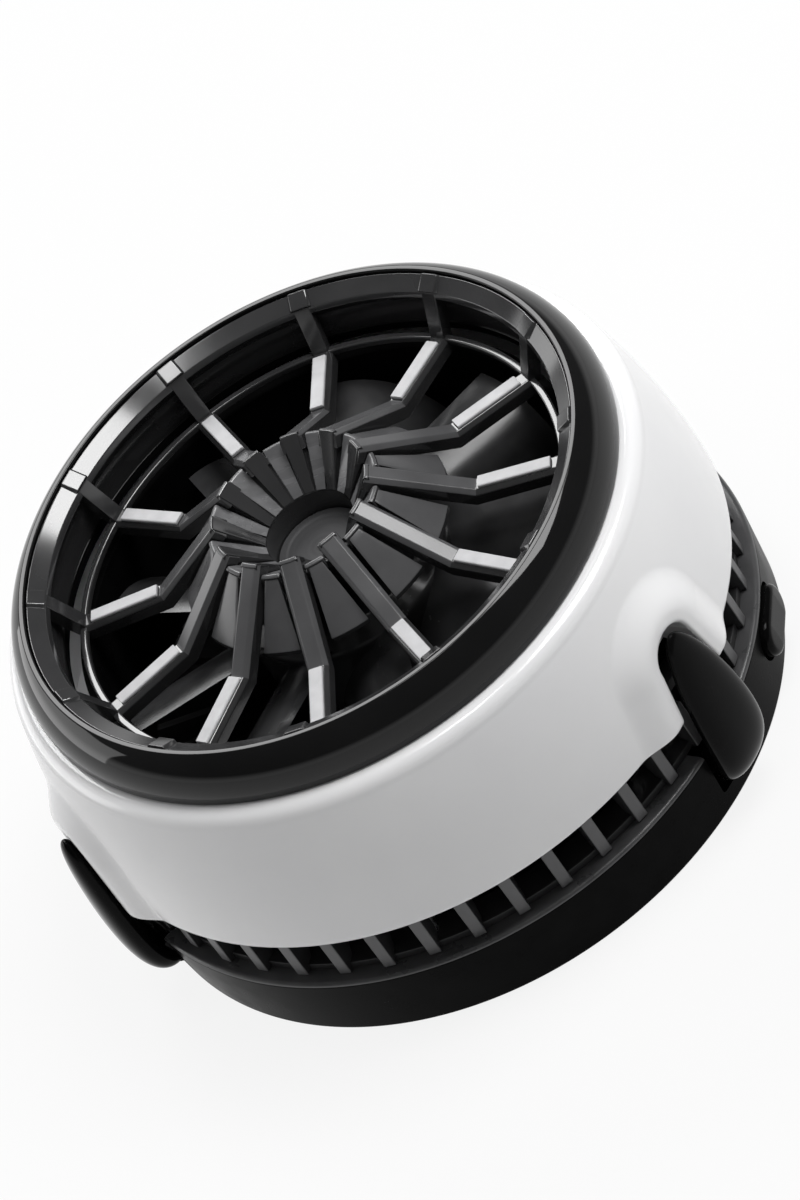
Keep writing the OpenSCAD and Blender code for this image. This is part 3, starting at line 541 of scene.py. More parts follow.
GLOSS_BLACK = Finish("gloss black plastic", "gloss_black", *grey(0.004, 0.006), (0.03, 0.06),
                     Texture.POLISHED, 3.0, 0.015, specular=0.3)
GRILLE_BLACK = Finish("grille black plastic", "gloss_black", *grey(0.024, 0.034), (0.1, 0.16),
                      Texture.POLISHED, 2.0, 0.02, specular=0.9)
# Painted highlight: lighter copy of the grille black, put on the upward faces of the petals and arms.
GRILLE_TOP_PAINTED_HIGHLIGHT = Finish("grille tops painted highlight", "gloss_black", *grey(0.06, 0.085), (0.2, 0.28),
                    Texture.POLISHED, 2.0, 0.02, specular=0.6)
# Painted highlight: lighter copy of the grille black, put on the inward faces of the crown's slats.
SLAT_PAINTED_HIGHLIGHT = Finish("slat painted highlight", "gloss_black", *grey(0.1, 0.14), (0.22, 0.3),
                   Texture.BRUSHED, 0.8, 0.05, specular=0.8)
CLAW_BLACK = Finish("claw black plastic", "gloss_black", *grey(0.002, 0.004), (0.1, 0.15),
                    Texture.POLISHED, 2.5, 0.02, specular=0.06)
SATIN_BLACK = Finish("satin black plastic", "satin_black", *grey(0.002, 0.004), (0.26, 0.34),
                     Texture.MOULDED, 0.25, 0.1, specular=0.02)
# Painted highlight: lighter, shinier copy of the satin black, put on the upward faces round the base ring's
# top.
SATIN_PAINTED_HIGHLIGHT = Finish("satin black painted highlight", "satin_black", *grey(0.05, 0.065), (0.26, 0.34),
                    Texture.MOULDED, 0.25, 0.1, specular=0.5)
# Painted light: the vent ring's black made mid-grey, left only on the vanes' outward fronts.
VENT_FRONT_PAINTED_LIGHT = Finish("vent black with painted light", "satin_black", *grey(0.08, 0.105), (0.34, 0.44),
                    Texture.MOULDED, 0.22, 0.12, specular=0.4)
# Painted shade: darker copy of the vent black, put on every vent face behind the vanes' fronts.
VENT_PAINTED_SHADE = Finish("vent black painted shade", "satin_black", *grey(0.02, 0.03), (0.34, 0.44),
                   Texture.MOULDED, 0.22, 0.12, specular=0.3)
GLOSS_WHITE = Finish("gloss white plastic", "gloss_white", (0.79, 0.79, 0.8), (0.83, 0.83, 0.835),
                     (0.12, 0.16), Texture.POLISHED, 5.0, 0.01)
SILVER_TRIM = Finish("pale silver paint", "silver_trim", (0.44, 0.44, 0.448), (0.51, 0.51, 0.518),
                     (0.5, 0.6), Texture.MOULDED, 0.12, 0.1, specular=0.15)
SMOKE = Finish("dark grey plastic", "smoke_plastic", *grey(0.022, 0.031), (0.2, 0.28),
               Texture.MOULDED, 0.25, 0.06)
HUB_GREY = Finish("hub grey plastic", "smoke_plastic", *grey(0.045, 0.06), (0.42, 0.5),
                  Texture.TURNED, 0.4, 0.1, specular=0.12)
SILICONE = Finish("soft grey silicone", "silicone", *grey(0.1, 0.13), (0.55, 0.68),
                  Texture.SOFT, 0.2, 0.15, specular=0.3)
FOAM = Finish("dark foam", "foam", *grey(0.035, 0.06), (0.8, 0.95), Texture.SOFT, 0.3, 0.6, specular=0.2)
ALUMINIUM = Finish("brushed aluminium", "aluminium", *grey(0.6, 0.72), (0.26, 0.4),
                   Texture.BRUSHED, 0.3, 0.12, metallic=1.0)
ANODISED = Finish("black anodised aluminium", "anodised", *grey(0.02, 0.032), (0.4, 0.55),
                  Texture.BRUSHED, 0.25, 0.1, metallic=0.6)
STEEL = Finish("plain steel", "steel", *grey(0.48, 0.6), (0.22, 0.38),
               Texture.BRUSHED, 0.15, 0.1, metallic=1.0)
NICKEL = Finish("nickel plate", "magnet", *grey(0.58, 0.68), (0.12, 0.22),
                Texture.POLISHED, 1.2, 0.04, metallic=1.0)
FERRITE = Finish("pressed ferrite", "ferrite", *grey(0.05, 0.085), (0.5, 0.65), Texture.MOULDED, 0.2, 0.3)
COPPER = Finish("enamelled copper wire", "copper", (0.5, 0.22, 0.09), (0.68, 0.35, 0.17), (0.22, 0.34),
                Texture.WOUND, 0.1, 0.8, metallic=0.9)
BRONZE = Finish("sintered bronze", "bronze", (0.42, 0.29, 0.13), (0.56, 0.41, 0.2), (0.38, 0.5),
                Texture.SOFT, 0.08, 0.3, metallic=0.9)
CERAMIC = Finish("white ceramic", "ceramic", (0.82, 0.81, 0.78), (0.88, 0.87, 0.84), (0.4, 0.5),
                 Texture.MOULDED, 0.15, 0.1)
NYLON = Finish("natural nylon", "nylon", (0.74, 0.73, 0.68), (0.82, 0.81, 0.77), (0.4, 0.5),
               Texture.MOULDED, 0.2, 0.1)
BOARD = Finish("green solder mask", "board", (0.012, 0.1, 0.045), (0.025, 0.16, 0.08), (0.25, 0.35),
               Texture.MOULDED, 0.6, 0.1, coat=0.3)

CLAW_ANGLES = (-29.2, 90.8, 210.8)


def faces_out(middle: Vector, normal: Vector) -> float:
    """How far a face looks away from the fan axis, from -1 to 1."""
    return (normal.x * middle.x + normal.y * middle.y) / max(math.hypot(middle.x, middle.y), MM)


@dataclass
class Part:
    """What every sub-assembly shares: the way its shapes become dressed pieces."""

    crease: float = 40.0

    def painted_light_finish(self, middle: Vector, normal: Vector) -> Finish | None:
        """Painted light or shade: the lighter or darker finish of the face with this middle and normal,
        where it differs from its piece's.
        """
        return None

    def finish_piece(self, made: bpy.types.Object, finish: Finish, body: str, *nodes: str) -> None:
        """Shades an object, dresses it and ties it to the frame.

        Args:
            made: The finished object.
            finish: Its finish.
            body: CAD body that it moves with.
            nodes: CAD nodes that it stands for.
        """
        mesh = made.data
        mesh.materials.clear()
        mesh.materials.append(finish.material())
        # Faces that the part picks by position and facing get a lighter or darker copy of the finish:
        # painted light and shade.
        for face in mesh.polygons:
            other = self.painted_light_finish(face.center / MM, face.normal)
            place = mesh.materials.find(other.name) if other else 0
            if place < 0:
                mesh.materials.append(other.material())
                place = len(mesh.materials) - 1
            face.material_index = place
        mesh.shade_smooth()
        mesh.set_sharp_from_angle(angle=math.radians(self.crease))
        weights = made.modifiers.new("face weights", "WEIGHTED_NORMAL")
        weights.keep_sharp = True
        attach(made, body)
        if nodes:
            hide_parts(*nodes)
        log.info("%s: %d faces, rides on %s", made.name, len(mesh.polygons), body)


@dataclass
class BezelRing(Part):
    """Gloss black ring round the intake, with the skirt that plugs into the shell."""

    bore_r: float = 27.0
    seat_r: float = 25.9
    seat_z: float = 28.5
    skirt_r: float = 28.6
    skirt_z: float = 27.5
    seam_r: float = 29.6
    seam_z: float = 29.75
    lip_r: float = 27.5
    lip_z: float = 34.4
    bulge: float = 0.8

    def build(self) -> None:
        """Makes the ring."""
        face = arc((self.seam_r, self.seam_z), (self.lip_r, self.lip_z), self.bulge, 26)[2:-2]
        outline = rounded([
            (self.bore_r, self.seat_z, 0), (self.seat_r, self.seat_z, 0.1),
            (self.seat_r, self.skirt_z, 0.1), (self.skirt_r, self.skirt_z, 0.2),
            (self.skirt_r, self.seam_z, 0), (self.seam_r, self.seam_z, 0.3), *[(r, z, 0) for r, z in face],
            (self.lip_r, self.lip_z, 0.25), (self.bore_r, self.lip_z, 0.15)])
        made = Shape().lathe(outline, 360).to_object("bezel_gloss_ring")
        self.finish_piece(made, GLOSS_BLACK, "case", "bezel_ring")


@dataclass
class GrilleWheel(Part):
    """Moulded wheel in front of the fan, its pale bars and the hub's disc."""

    spokes: int = 12
    rim_r: float = 26.9
    band_in_r: float = 25.4
    band_top_z: float = 34.1
    band_foot_z: float = 33.2
    band_lip: Point = (0.2, 0.6)
    band_under_h: float = 1.8
    seat_r: float = 26.0
    seat_z: float = 28.5
    block_w: Point = (1.7, 2.4)
    block_chamfer: float = 0.5
    block_t: float = 1.2
    block_inset: float = 0.15
    block_rise: Point = (0.3, 0.21)
    leg_w: float = 1.55
    leg_head: Point = (0.4, 1.0)
    joint_r: float = 23.75
    joint_z: float = 29.1
    joint_w: float = 0.7
    kink_r: float = 15.6
    kink_z: float = 30.1
    spoke_w: float = 1.35
    spoke_foot_w: float = 2.1
    spoke_t: float = 1.6
    chamfer: float = 0.4
    insert_t: float = 0.35
    insert_rise: float = 0.4
    insert_short: Point = (0.3, 1.0)
    insert_chamfer: float = 0.1
    insert_edge: float = 0.07
    arm_in: Point = (7.55, 35.6)
    petal_in: Point = (8.1, 34.7)
    petal_out: Point = (13.0, 29.8)
    petal_t: Point = (0.9, 0.5)
    petal_slot: float = 3.0
    petal_steps: int = 6
    slats: int = 24
    slat_gap: float = 1.1
    slat_foot: tuple[Point, ...] = ((0.3, -0.3), (-0.1, 0.0))
    slat_head: tuple[Point, ...] = ((-0.15, -0.1), (0.0, 0.0), (0.3, -0.1), (0.5, -1.3))
    slat_edge: float = 0.06
    crown_r: float = 8.3
    crown_lip_z: float = 33.95
    crown_lip: tuple[float, ...] = (0.3, 0.9, 0.1)
    funnel_z: float = 31.2
    funnel_drop: Point = (0.5, 0.2)
    cup_r: float = 4.4
    cup_wall: float = 0.9
    cup_z: float = 27.6
    cup_floor: float = 0.6
    disc_gap: float = 0.1
    disc_t: float = 0.5
    disc_rim: float = 0.7
    dish_slope: float = 0.2
    dish_t: Point = (0.08, 0.12)
    edge: float = 0.1
    inward: float = -0.3
    upward: float = 0.4
    slope_over: float = 0.2

    @property
    def spoke_angles(self) -> list[float]:
        """Angles of the spokes in degrees."""
        return even(self.spokes)

    @property
    def bar_top_z(self) -> float:
        """Height of the pale bars' outer ends."""
        return self.joint_z + self.insert_rise

    def painted_light_finish(self, middle: Vector, normal: Vector) -> Finish | None:
        """Painted highlights: lighter copies of the wheel's black on the upward faces of the petals and the
        arms' tops, and on the inward faces of the slats under the petals.

        Args:
            middle: Middle of the face in millimetres.
            normal: Normal of the face.

        Returns:
            The painted highlight finish, or None for the wheel's own.
        """
        away = math.hypot(middle.x, middle.y)
        turn = math.degrees(math.atan2(middle.y, middle.x)) % (360 / self.spokes)
        if away < self.crown_r and faces_out(middle, normal) < self.inward:
            between = abs(turn - 180 / self.spokes) < 90 / self.spokes - self.slat_gap
            return SLAT_PAINTED_HIGHLIGHT if between and middle.z > self.funnel_z else None
        sloping = self.arm_in[0] < away < self.kink_r + self.slope_over and middle.z > self.joint_z
        return GRILLE_TOP_PAINTED_HIGHLIGHT if sloping and normal.z > self.upward else None

    def section(self, top_w: float, foot_w: float, chamfer: float, depth: float) -> list[Point]:
        """Chamfered bar section, across and above the bar's top line."""
        return [(-top_w / 2, 0), (-foot_w / 2, -chamfer), (-foot_w / 2, -depth),
                (foot_w / 2, -depth), (foot_w / 2, -chamfer), (top_w / 2, 0)]

    def rim(self) -> Shape:
        """Rim with its cone band, and the thin ring that joins the spokes' feet."""
        low, half = self.joint_z - self.joint_w, self.joint_w / 2
        lip_r, lip_z = self.band_in_r - self.band_lip[0], self.band_foot_z - self.band_lip[1]
        band = rounded([
            (self.rim_r, self.seat_z, 0), (self.rim_r, self.band_top_z, 0.1),
            (self.band_in_r, self.band_foot_z, 0.15), (lip_r, lip_z, 0.15),
            (self.seat_r, self.band_foot_z - self.band_under_h, 0.2), (self.seat_r, self.seat_z, 0)])
        joint = rounded([
            (self.joint_r - half, low, 0.15), (self.joint_r + half, low, 0.15),
            (self.joint_r + half, self.joint_z, 0.2), (self.joint_r - half, self.joint_z, 0.2)])
        return Shape().lathe(band, 360).lathe(joint, 360)

    def spoke(self) -> Shape:
        """One spoke along X: block on the rim, steep leg, flat bar and rising arm."""
        joint_in_r = self.joint_r - self.joint_w / 2
        bar_z = self.bar_top_z - self.insert_t
        low, head_r = self.joint_z - self.joint_w, self.rim_r - self.leg_head[0]
        ramp = [(self.band_in_r - self.block_inset, self.band_foot_z + self.block_rise[0]),
                (self.rim_r - self.block_inset, self.band_top_z + self.block_rise[1])]
        block = Shape().sweep(ramp, self.section(*self.block_w, self.block_chamfer, self.block_t))
        leg = Shape().across([
            (joint_in_r, low), (joint_in_r, bar_z), (self.band_in_r, self.band_foot_z),
            (head_r, self.band_foot_z), (head_r, self.band_foot_z - self.leg_head[1]),
            (self.joint_r + self.joint_w, low)], self.leg_w)
        arm = Shape().sweep(
            [self.arm_in, (self.kink_r, self.kink_z - self.insert_t), (self.joint_r, bar_z)],
            self.section(self.spoke_w, self.spoke_foot_w, self.chamfer, self.spoke_t))
        return Shape().join(*[piece.bevelled(self.edge) for piece in (block, leg, arm)])

    def crown(self) -> Shape:
        """Hub cup with its funnel, lined with tall slats at the spokes and low ones at the petals."""
        out_r, low = self.cup_r + self.cup_wall, self.cup_z + self.cup_floor
        lip_w, lip_h, lip_rise = self.crown_lip
        cup = rounded([
            (0, self.cup_z, 0), (out_r, self.cup_z, 0.3), (out_r, self.funnel_z - self.funnel_drop[0], 0.4),
            (self.crown_r, self.crown_lip_z - lip_h, 0.2), (self.crown_r, self.crown_lip_z, 0.15),
            (self.crown_r - lip_w, self.crown_lip_z + lip_rise, 0.1),
            (self.cup_r, self.funnel_z - self.funnel_drop[1], 0.3), (self.cup_r, low, 0.1), (0, low, 0)])
        shape = Shape().lathe(cup, 180)
        half = math.radians(180 / self.slats - self.slat_gap)
        for first, (top_r, top_z) in enumerate((self.arm_in, self.petal_in)):
            outline = [(self.cup_r + r, self.funnel_z + z) for r, z in self.slat_foot]
            outline += [(top_r + r, top_z + z) for r, z in self.slat_head]
            slat = Shape().loft([[polar(r, half * k / 3, z) for r, z in outline] for k in range(-3, 4)])
            shape.join(slat.bevelled(self.slat_edge).turned(*even(self.slats)[first::2]))
        return shape

    def petal(self) -> Shape:
        """One sloping plate between two spokes."""
        rings = []
        for k in range(self.petal_steps + 1):
            t = k / self.petal_steps
            r, top = (a + (b - a) * t for a, b in zip(self.petal_in, self.petal_out))
            low = top - self.petal_t[0] - (self.petal_t[1] - self.petal_t[0]) * t
            shy = math.asin(self.petal_slot / 2 / r)
            width = math.tau / self.spokes - 2 * shy
            span = [shy + width * j / self.petal_steps for j in range(self.petal_steps + 1)]
            rings.append([polar(r, a, top) for a in span] + [polar(r, a, low) for a in reversed(span)])
        return Shape().loft(rings).bevelled(self.edge)

    def insert(self) -> Shape:
        """Pale bar on the flat stretch of the spoke along X."""
        slope = (self.bar_top_z - self.kink_z) / (self.joint_r - self.kink_r)
        ends = (self.kink_r + self.insert_short[0], self.joint_r - self.insert_short[1])
        path = [(r, self.kink_z + slope * (r - self.kink_r)) for r in ends]
        top_w = self.spoke_w - 2 * self.insert_chamfer
        section = self.section(top_w, self.spoke_w, self.insert_chamfer, self.insert_t)
        return Shape().sweep(path, section).bevelled(self.insert_edge)

    def disc(self) -> Shape:
        """Disc at the bottom of the hub cup, with a shallow turned dish."""
        low, radius = self.cup_z + self.cup_floor, self.cup_r - self.disc_gap
        top, dish_r = low + self.disc_t, radius - self.disc_rim
        return Shape().lathe(rounded([
            (0, low, 0), (radius, low, 0.1), (radius, top, 0.15), (dish_r, top, 0.1),
            (dish_r - self.dish_slope, top - self.dish_t[0], 0.1), (0, top - self.dish_t[1], 0)]), 180)

    def build(self) -> None:
        """Makes the wheel, its bars and its disc."""
        wheel = self.rim().join(self.spoke().turned(*self.spoke_angles), self.crown(),
                                self.petal().turned(*self.spoke_angles))
        self.finish_piece(wheel.to_object("grille_spoked_wheel"), GRILLE_BLACK, "case", "grille_wheel")
        bars = self.insert().turned(*self.spoke_angles).to_object("grille_pale_bars")
        self.finish_piece(bars, SILVER_TRIM, "case", "spoke_inserts")
        self.finish_piece(self.disc().to_object("grille_hub_disc"), HUB_GREY, "case", "hub_cap")


@dataclass
class OuterShell(Part):
    """Gloss white shell with a soft hood round each claw's notch."""

    foot_z: float = 13.1
    foot_h: float = 0.4
    foot_round: tuple[Point, ...] = ((-0.3, 0.0), (-0.16, 0.06), (-0.05, 0.18))
    rim_r: float = 33.0
    top_r: float = 31.4
    seam_z: float = 29.75
    bulge: float = 0.5
    shoulder_r: float = 1.4
    shoulder_sag: float = 0.406
    bore_r: float = 31.4
    skirt_bore_r: float = 28.7
    skirt_foot_z: float = 27.4
    skirt_slope_h: float = 1.4
    wall: float = 1.6
    ledge_r: float = 27.6
    ledge_back: float = 0.6
    ledge_low_z: float = 16.0
    ledge_top_z: float = 17.5
    arch_r: float = 2.6
    arch_z: float = 18.5
    notch_w: float = 3.7
    notch_over: float = 1.0
    notch_in_r: float = 29.4
    notch_out_r: float = 40.0
    hood_r: float = 33.9
    hood_lean: float = 0.1
    hood_lean_h: float = 9.0
    hood_w: float = 1.0
    hood_fade: float = 3.8
    hood_edge: float = 0.35
    rows: int = 84

    def profile(self) -> tuple[list[Point], int]:
        """Section of the shell.

        Returns:
            The closed outline, and the number of points of it that make the outer wall.
        """
        foot = [(self.rim_r + r, self.foot_z + z) for r, z in self.foot_round]
        shoulder_z = self.seam_z - self.shoulder_r
        outer = foot + arc((self.rim_r, self.foot_z + self.foot_h), (self.top_r, shoulder_z),
                           self.bulge, self.rows)
        shoulder = arc((self.top_r, shoulder_z), (self.top_r - self.shoulder_r, self.seam_z),
                       self.shoulder_sag, 8)[1:]
        inner = [
            (self.skirt_bore_r, self.seam_z), (self.skirt_bore_r, self.skirt_foot_z),
            (self.top_r - self.wall, self.skirt_foot_z - self.skirt_slope_h),
            (self.bore_r - self.ledge_back, self.ledge_top_z), (self.ledge_r, self.ledge_top_z),
            (self.ledge_r, self.ledge_low_z), (self.bore_r, self.ledge_low_z), (self.bore_r, self.foot_z)]
        return outer + shoulder + inner, len(outer)

    def steps(self) -> list[float]:
        """Angles of the lathe's steps, close together round each notch."""
        angles: list[float] = []
        near, fine, coarse = 15.0, 0.2, 0.7
        for claw in CLAW_ANGLES:
            angles += [claw - near + fine * k for k in range(round(2 * near / fine))]
            rest = 360 / len(CLAW_ANGLES) - 2 * near
            count = round(rest / coarse)
            angles += [claw + near + rest * k / count for k in range(count)]
        return angles

    def notch_distance(self, y: float, z: float) -> float:
        """Distance of a point across and up from a notch's outline, negative inside it.

        Args:
            y: Distance across from the notch's middle.
            z: Height.

        Returns:
            The distance.
        """
        if z >= self.arch_z:
            return math.hypot(y, z - self.arch_z) - self.arch_r
        spread = (self.notch_w - self.arch_r) / (self.arch_z - self.foot_z + self.notch_over)
        return (abs(y) - self.arch_r - spread * (self.arch_z - z)) / math.hypot(1, spread)

    def hooded(self, p: Vector, wall_r: float) -> Vector:
        """Raises a point of the outer wall to the hood of the nearest notch.

        Args:
            p: Point of the wall.
            wall_r: Radius of the plain wall at that height.

        Returns:
            The point on the hood, or the same point away from it.
        """
        angle = math.degrees(math.atan2(p.y, p.x))
        claw = min(CLAW_ANGLES, key=lambda a: abs((angle - a + 180) % 360 - 180))
        local = Matrix.Rotation(math.radians(-claw), 3, "Z") @ p
        away = self.notch_distance(local.y, local.z)
        if local.x < 0 or away > self.hood_w + self.hood_fade:
            return p
        face = self.hood_r - self.hood_lean * (local.z - self.foot_z) / self.hood_lean_h
        lift = max(face - math.sqrt(wall_r ** 2 - local.y ** 2), 0.0)
        local.x += lift * (1 - smoothstep(self.hood_w, self.hood_w + self.hood_fade, away))
        roll = min(max(self.hood_edge - away, 0.0), self.hood_edge)
        local.x -= self.hood_edge - math.sqrt(self.hood_edge ** 2 - roll ** 2)
        return Matrix.Rotation(math.radians(claw), 3, "Z") @ local

    def notch_tool(self) -> Shape:
        """Prisms that cut the three notches."""
        turns = [math.pi * k / 48 for k in range(49)]
        low = self.foot_z - self.notch_over
        outline = [(self.arch_r * math.cos(t), self.arch_z + self.arch_r * math.sin(t)) for t in turns]
        outline += [(-self.notch_w, low), (self.notch_w, low)]
        return Shape().outward(outline, self.notch_in_r, self.notch_out_r).turned(*CLAW_ANGLES)

    def build(self) -> None:
        """Makes the shell."""
        outline, outer = self.profile()
        steps = self.steps()
        plain = Shape().lathe(outline, steps)
        foot_top = self.foot_z + self.foot_h
        walls = [max(r, self.rim_r) if z < foot_top else r for r, z in outline]
        raised = [self.hooded(p, walls[i // len(steps)]) if i < outer * len(steps) else p
                  for i, p in enumerate(plain.points)]
        made = Shape().add(raised, plain.faces).to_object("shell_gloss_white")
        carve(made, self.notch_tool())
        self.finish_piece(made, GLOSS_WHITE, "case", "outer_shell")


@dataclass
class VentRing(Part):
    """Recessed band of upright vanes."""

    vanes: int = 45
    first_a: float = -80.5
    vane_t: float = 1.2
    vane_r: float = 31.9
    vane_foot: float = 1.3
    vane_edge: float = 0.14
    vane_gap: float = 0.3
    tuck: float = 0.1
    inner_r: float = 31.2
    bore_r: float = 28.2
    low_z: float = 7.5
    floor_t: float = 0.8
    shell_z: float = 13.1
    top_z: float = 14.5
    hoop_t: float = 0.9
    front_depth: float = 0.3
    outward: float = 0.3

    def painted_light_finish(self, middle: Vector, normal: Vector) -> Finish | None:
        """Painted shade: a darker copy of the vent black on every face behind the vanes' fronts, which keep
        the lighter painted light.
        """
        in_front = math.hypot(middle.x, middle.y) > self.vane_r - self.front_depth
        return None if in_front and faces_out(middle, normal) > self.outward else VENT_PAINTED_SHADE

    def build(self) -> None:
        """Makes the floor, the hoop and the vanes."""
        low, top = self.low_z + self.tuck, self.shell_z - self.vane_gap
        out_r, in_r = self.inner_r - self.tuck, self.bore_r + self.tuck
        hoop_z = self.top_z - self.hoop_t / 2
        vane = Shape().across([
            (self.vane_r - self.vane_foot, low), (self.vane_r, low), (self.vane_r, top), (out_r, top),
            (out_r, hoop_z), (in_r, hoop_z), (in_r, self.shell_z - self.hoop_t)], self.vane_t)
        shape = vane.bevelled(self.vane_edge, 3).turned(*even(self.vanes, self.first_a))
        bands = ((self.low_z, self.low_z + self.floor_t), (self.top_z - self.hoop_t, self.top_z))
        for under, over in bands:
            shape.lathe(rounded([(self.bore_r, under, 0.1), (self.inner_r, under, 0.1),
                                 (self.inner_r, over, 0.1), (self.bore_r, over, 0.1)]), 300)
        self.finish_piece(shape.to_object("vent_vane_ring"), VENT_FRONT_PAINTED_LIGHT, "case", "vent_ring")


@dataclass
class BaseRing(Part):
    """Satin black ring that carries the claws, the button and the socket."""

    height: float = 7.5
    foot_r: float = 32.3
    rim_r: float = 33.0
    bore_r: float = 28.0
    seat_r: float = 31.3
    plate_t: float = 1.8
    pocket_r: float = 29.4
    pocket_w: float = 3.4
    pocket_z: float = 2.0
    pocket_round: float = 0.5
    hinge_r: float = 31.6
    hinge_z: float = 4.8
    pin_r: float = 0.625
    pin_hole_l: float = 9.4
    button_a: float = -4.5
    button_size: Point = (8.1, 4.4)
    button_z: float = 4.7
    socket_a: float = 50.0
    socket_size: Point = (9.14, 3.46)
    socket_z: float = 4.73
    screw_angles: tuple[float, ...] = (31.5, 151.5, 271.5)
    screw_r: float = 29.4
    screw_hole_r: float = 0.9
    over: float = 2.0
    screw_over: float = 0.5
    reach: float = 40.0
    ledge_h: float = 0.4
    upward: float = 0.3

    def painted_light_finish(self, middle: Vector, normal: Vector) -> Finish | None:
        """Painted highlight: a lighter, shinier copy of the satin black on the upward faces of the ledge
        and the rounded edge round the ring's top.
        """
        return SATIN_PAINTED_HIGHLIGHT if middle.z > self.height - self.ledge_h and normal.z > self.upward else None

    def window(self, size: Point, level: float) -> Shape:
        """Capsule-shaped prism through the wall, along X."""
        outline = [(y, z + level) for y, z in capsule(*size)]
        return Shape().outward(outline, self.bore_r - self.over, self.reach)

    def tool(self) -> Shape:
        """Pockets, pin holes, windows and screw holes that are cut from the ring."""
        top = self.height + self.over
        pocket = Shape().outward(rounded([
            (-self.pocket_w, top, 0), (-self.pocket_w, self.pocket_z, self.pocket_round),
            (self.pocket_w, self.pocket_z, self.pocket_round), (self.pocket_w, top, 0)]),
            self.pocket_r, self.reach)
        pin = Shape().across(circle(self.hinge_r, self.hinge_z, self.pin_r, 32), self.pin_hole_l)
        ends = (self.plate_t - self.screw_over, self.height + self.screw_over)
        hole = Shape().loft([[(x, y, z) for x, y in circle(self.screw_r, 0.0, self.screw_hole_r, 32)]
                             for z in ends])
        return Shape().join(
            pocket.turned(*CLAW_ANGLES), pin.turned(*CLAW_ANGLES), hole.turned(*self.screw_angles),
            self.window(self.button_size, self.button_z).turned(self.button_a),
            self.window(self.socket_size, self.socket_z).turned(self.socket_a))

    def build(self) -> None:
        """Makes the ring."""
        outline = rounded([
            (self.seat_r, 0, 0.1), (self.foot_r, 0, 0.4), (self.rim_r, self.height, 0.5),
            (self.bore_r, self.height, 0.1), (self.bore_r, self.plate_t, 0),
            (self.seat_r, self.plate_t, 0)])
        made = Shape().lathe(outline, 360).to_object("base_satin_ring")
        carve(made, self.tool())
        self.finish_piece(made, SATIN_BLACK, "case", "base_ring")


@dataclass
class ContactPad(Part):
    """Soft pad on the underside, with fine rings that grip."""

    radius: float = 14.5
    thickness: float = 0.5
    ridge: float = 0.06
    pitch: float = 0.9
    plain_w: float = 0.6
    rows: int = 6
    edge: tuple[Point, ...] = ((-0.15, 0.0), (-0.04, 0.04), (0.0, 0.15))

    def build(self) -> None:
        """Makes the pad."""
        ridged_r = self.radius - self.plain_w
        count = int(ridged_r / self.pitch * self.rows)
        radii = [ridged_r * k / count for k in range(count + 1)]
        under = [(r, self.ridge / 2 * (1 - math.cos(math.tau * r / self.pitch))) for r in radii]
        side = [(self.radius + r, z) for r, z in self.edge] + [(self.radius, self.thickness)]
        shape = Shape().lathe(under + side + [(0.0, self.thickness)], 180)
        self.finish_piece(shape.to_object("contact_soft_pad"), SILICONE, "case", "contact_pad")


@dataclass
class Impeller(Part):
    """Fan wheel: hub with a rounded shoulder and curved blades."""

    blades: int = 9
    hub_r: float = 10.5
    tip_r: float = 23.0
    low_z: float = 17.5
    top_z: float = 26.5
    chord: float = 11.5
    camber: float = 9.0
    pitch: float = 38.0
    blade_t: float = 0.9
    rows: int = 12
    hub_wall: float = 1.0
    hub_top_t: float = 1.2
    shoulder: Point = (2.0, 1.4)
    inner_shoulder: Point = (2.4, 0.8)
    boss: float = 1.2
    shaft_r: float = 1.02

    def blade(self) -> Shape:
        """One curved blade along X, with a thin rounded edge."""
        sag, half_t = self.chord / self.camber, self.blade_t / 2
        middle = (self.low_z + self.top_z) / 2
        turn = math.radians(self.pitch)
        ahead = (math.cos(turn) * self.chord / 2, math.sin(turn) * self.chord / 2)
        back = (-ahead[0], -ahead[1])
        section = arc(ahead, back, sag + half_t, 20)[:-1] + arc(back, ahead, -sag + half_t, 20)[:-1]
        root_r = self.hub_r - self.hub_wall / 2
        radii = [root_r + (self.tip_r - root_r) * k / self.rows for k in range(self.rows + 1)]
        return Shape().loft([[(math.sqrt(rho * rho - y * y), y, middle + z) for y, z in section]
                             for rho in radii])

    def hub(self) -> Shape:
        """Hub with the boss that holds the shaft."""
        top, under = self.top_z, self.top_z - self.hub_top_t
        inner, shaft_z = self.hub_r - self.hub_wall, self.top_z - self.hub_top_t / 2
        boss_r, boss_z = self.shaft_r + self.boss, under - self.boss
        return Shape().lathe(rounded([
            (self.shaft_r, boss_z, 0), (self.shaft_r, shaft_z, 0), (0, shaft_z, 0), (0, top, 0),
            (self.hub_r - self.shoulder[0], top, 0.6), (self.hub_r, top - self.shoulder[1], 0.8),
            (self.hub_r, self.low_z, 0.15), (inner, self.low_z, 0.15),
            (inner, under - self.inner_shoulder[1], 0.3), (self.hub_r - self.inner_shoulder[0], under, 0.3),
            (boss_r, under, 0.2), (boss_r, boss_z, 0.1)]), 180)

    def build(self) -> None:
        """Makes the fan wheel."""
        shape = self.hub().join(self.blade().turned(*even(self.blades)))
        self.finish_piece(shape.to_object("fan_blade_wheel"), SMOKE, "rotor", "impeller")


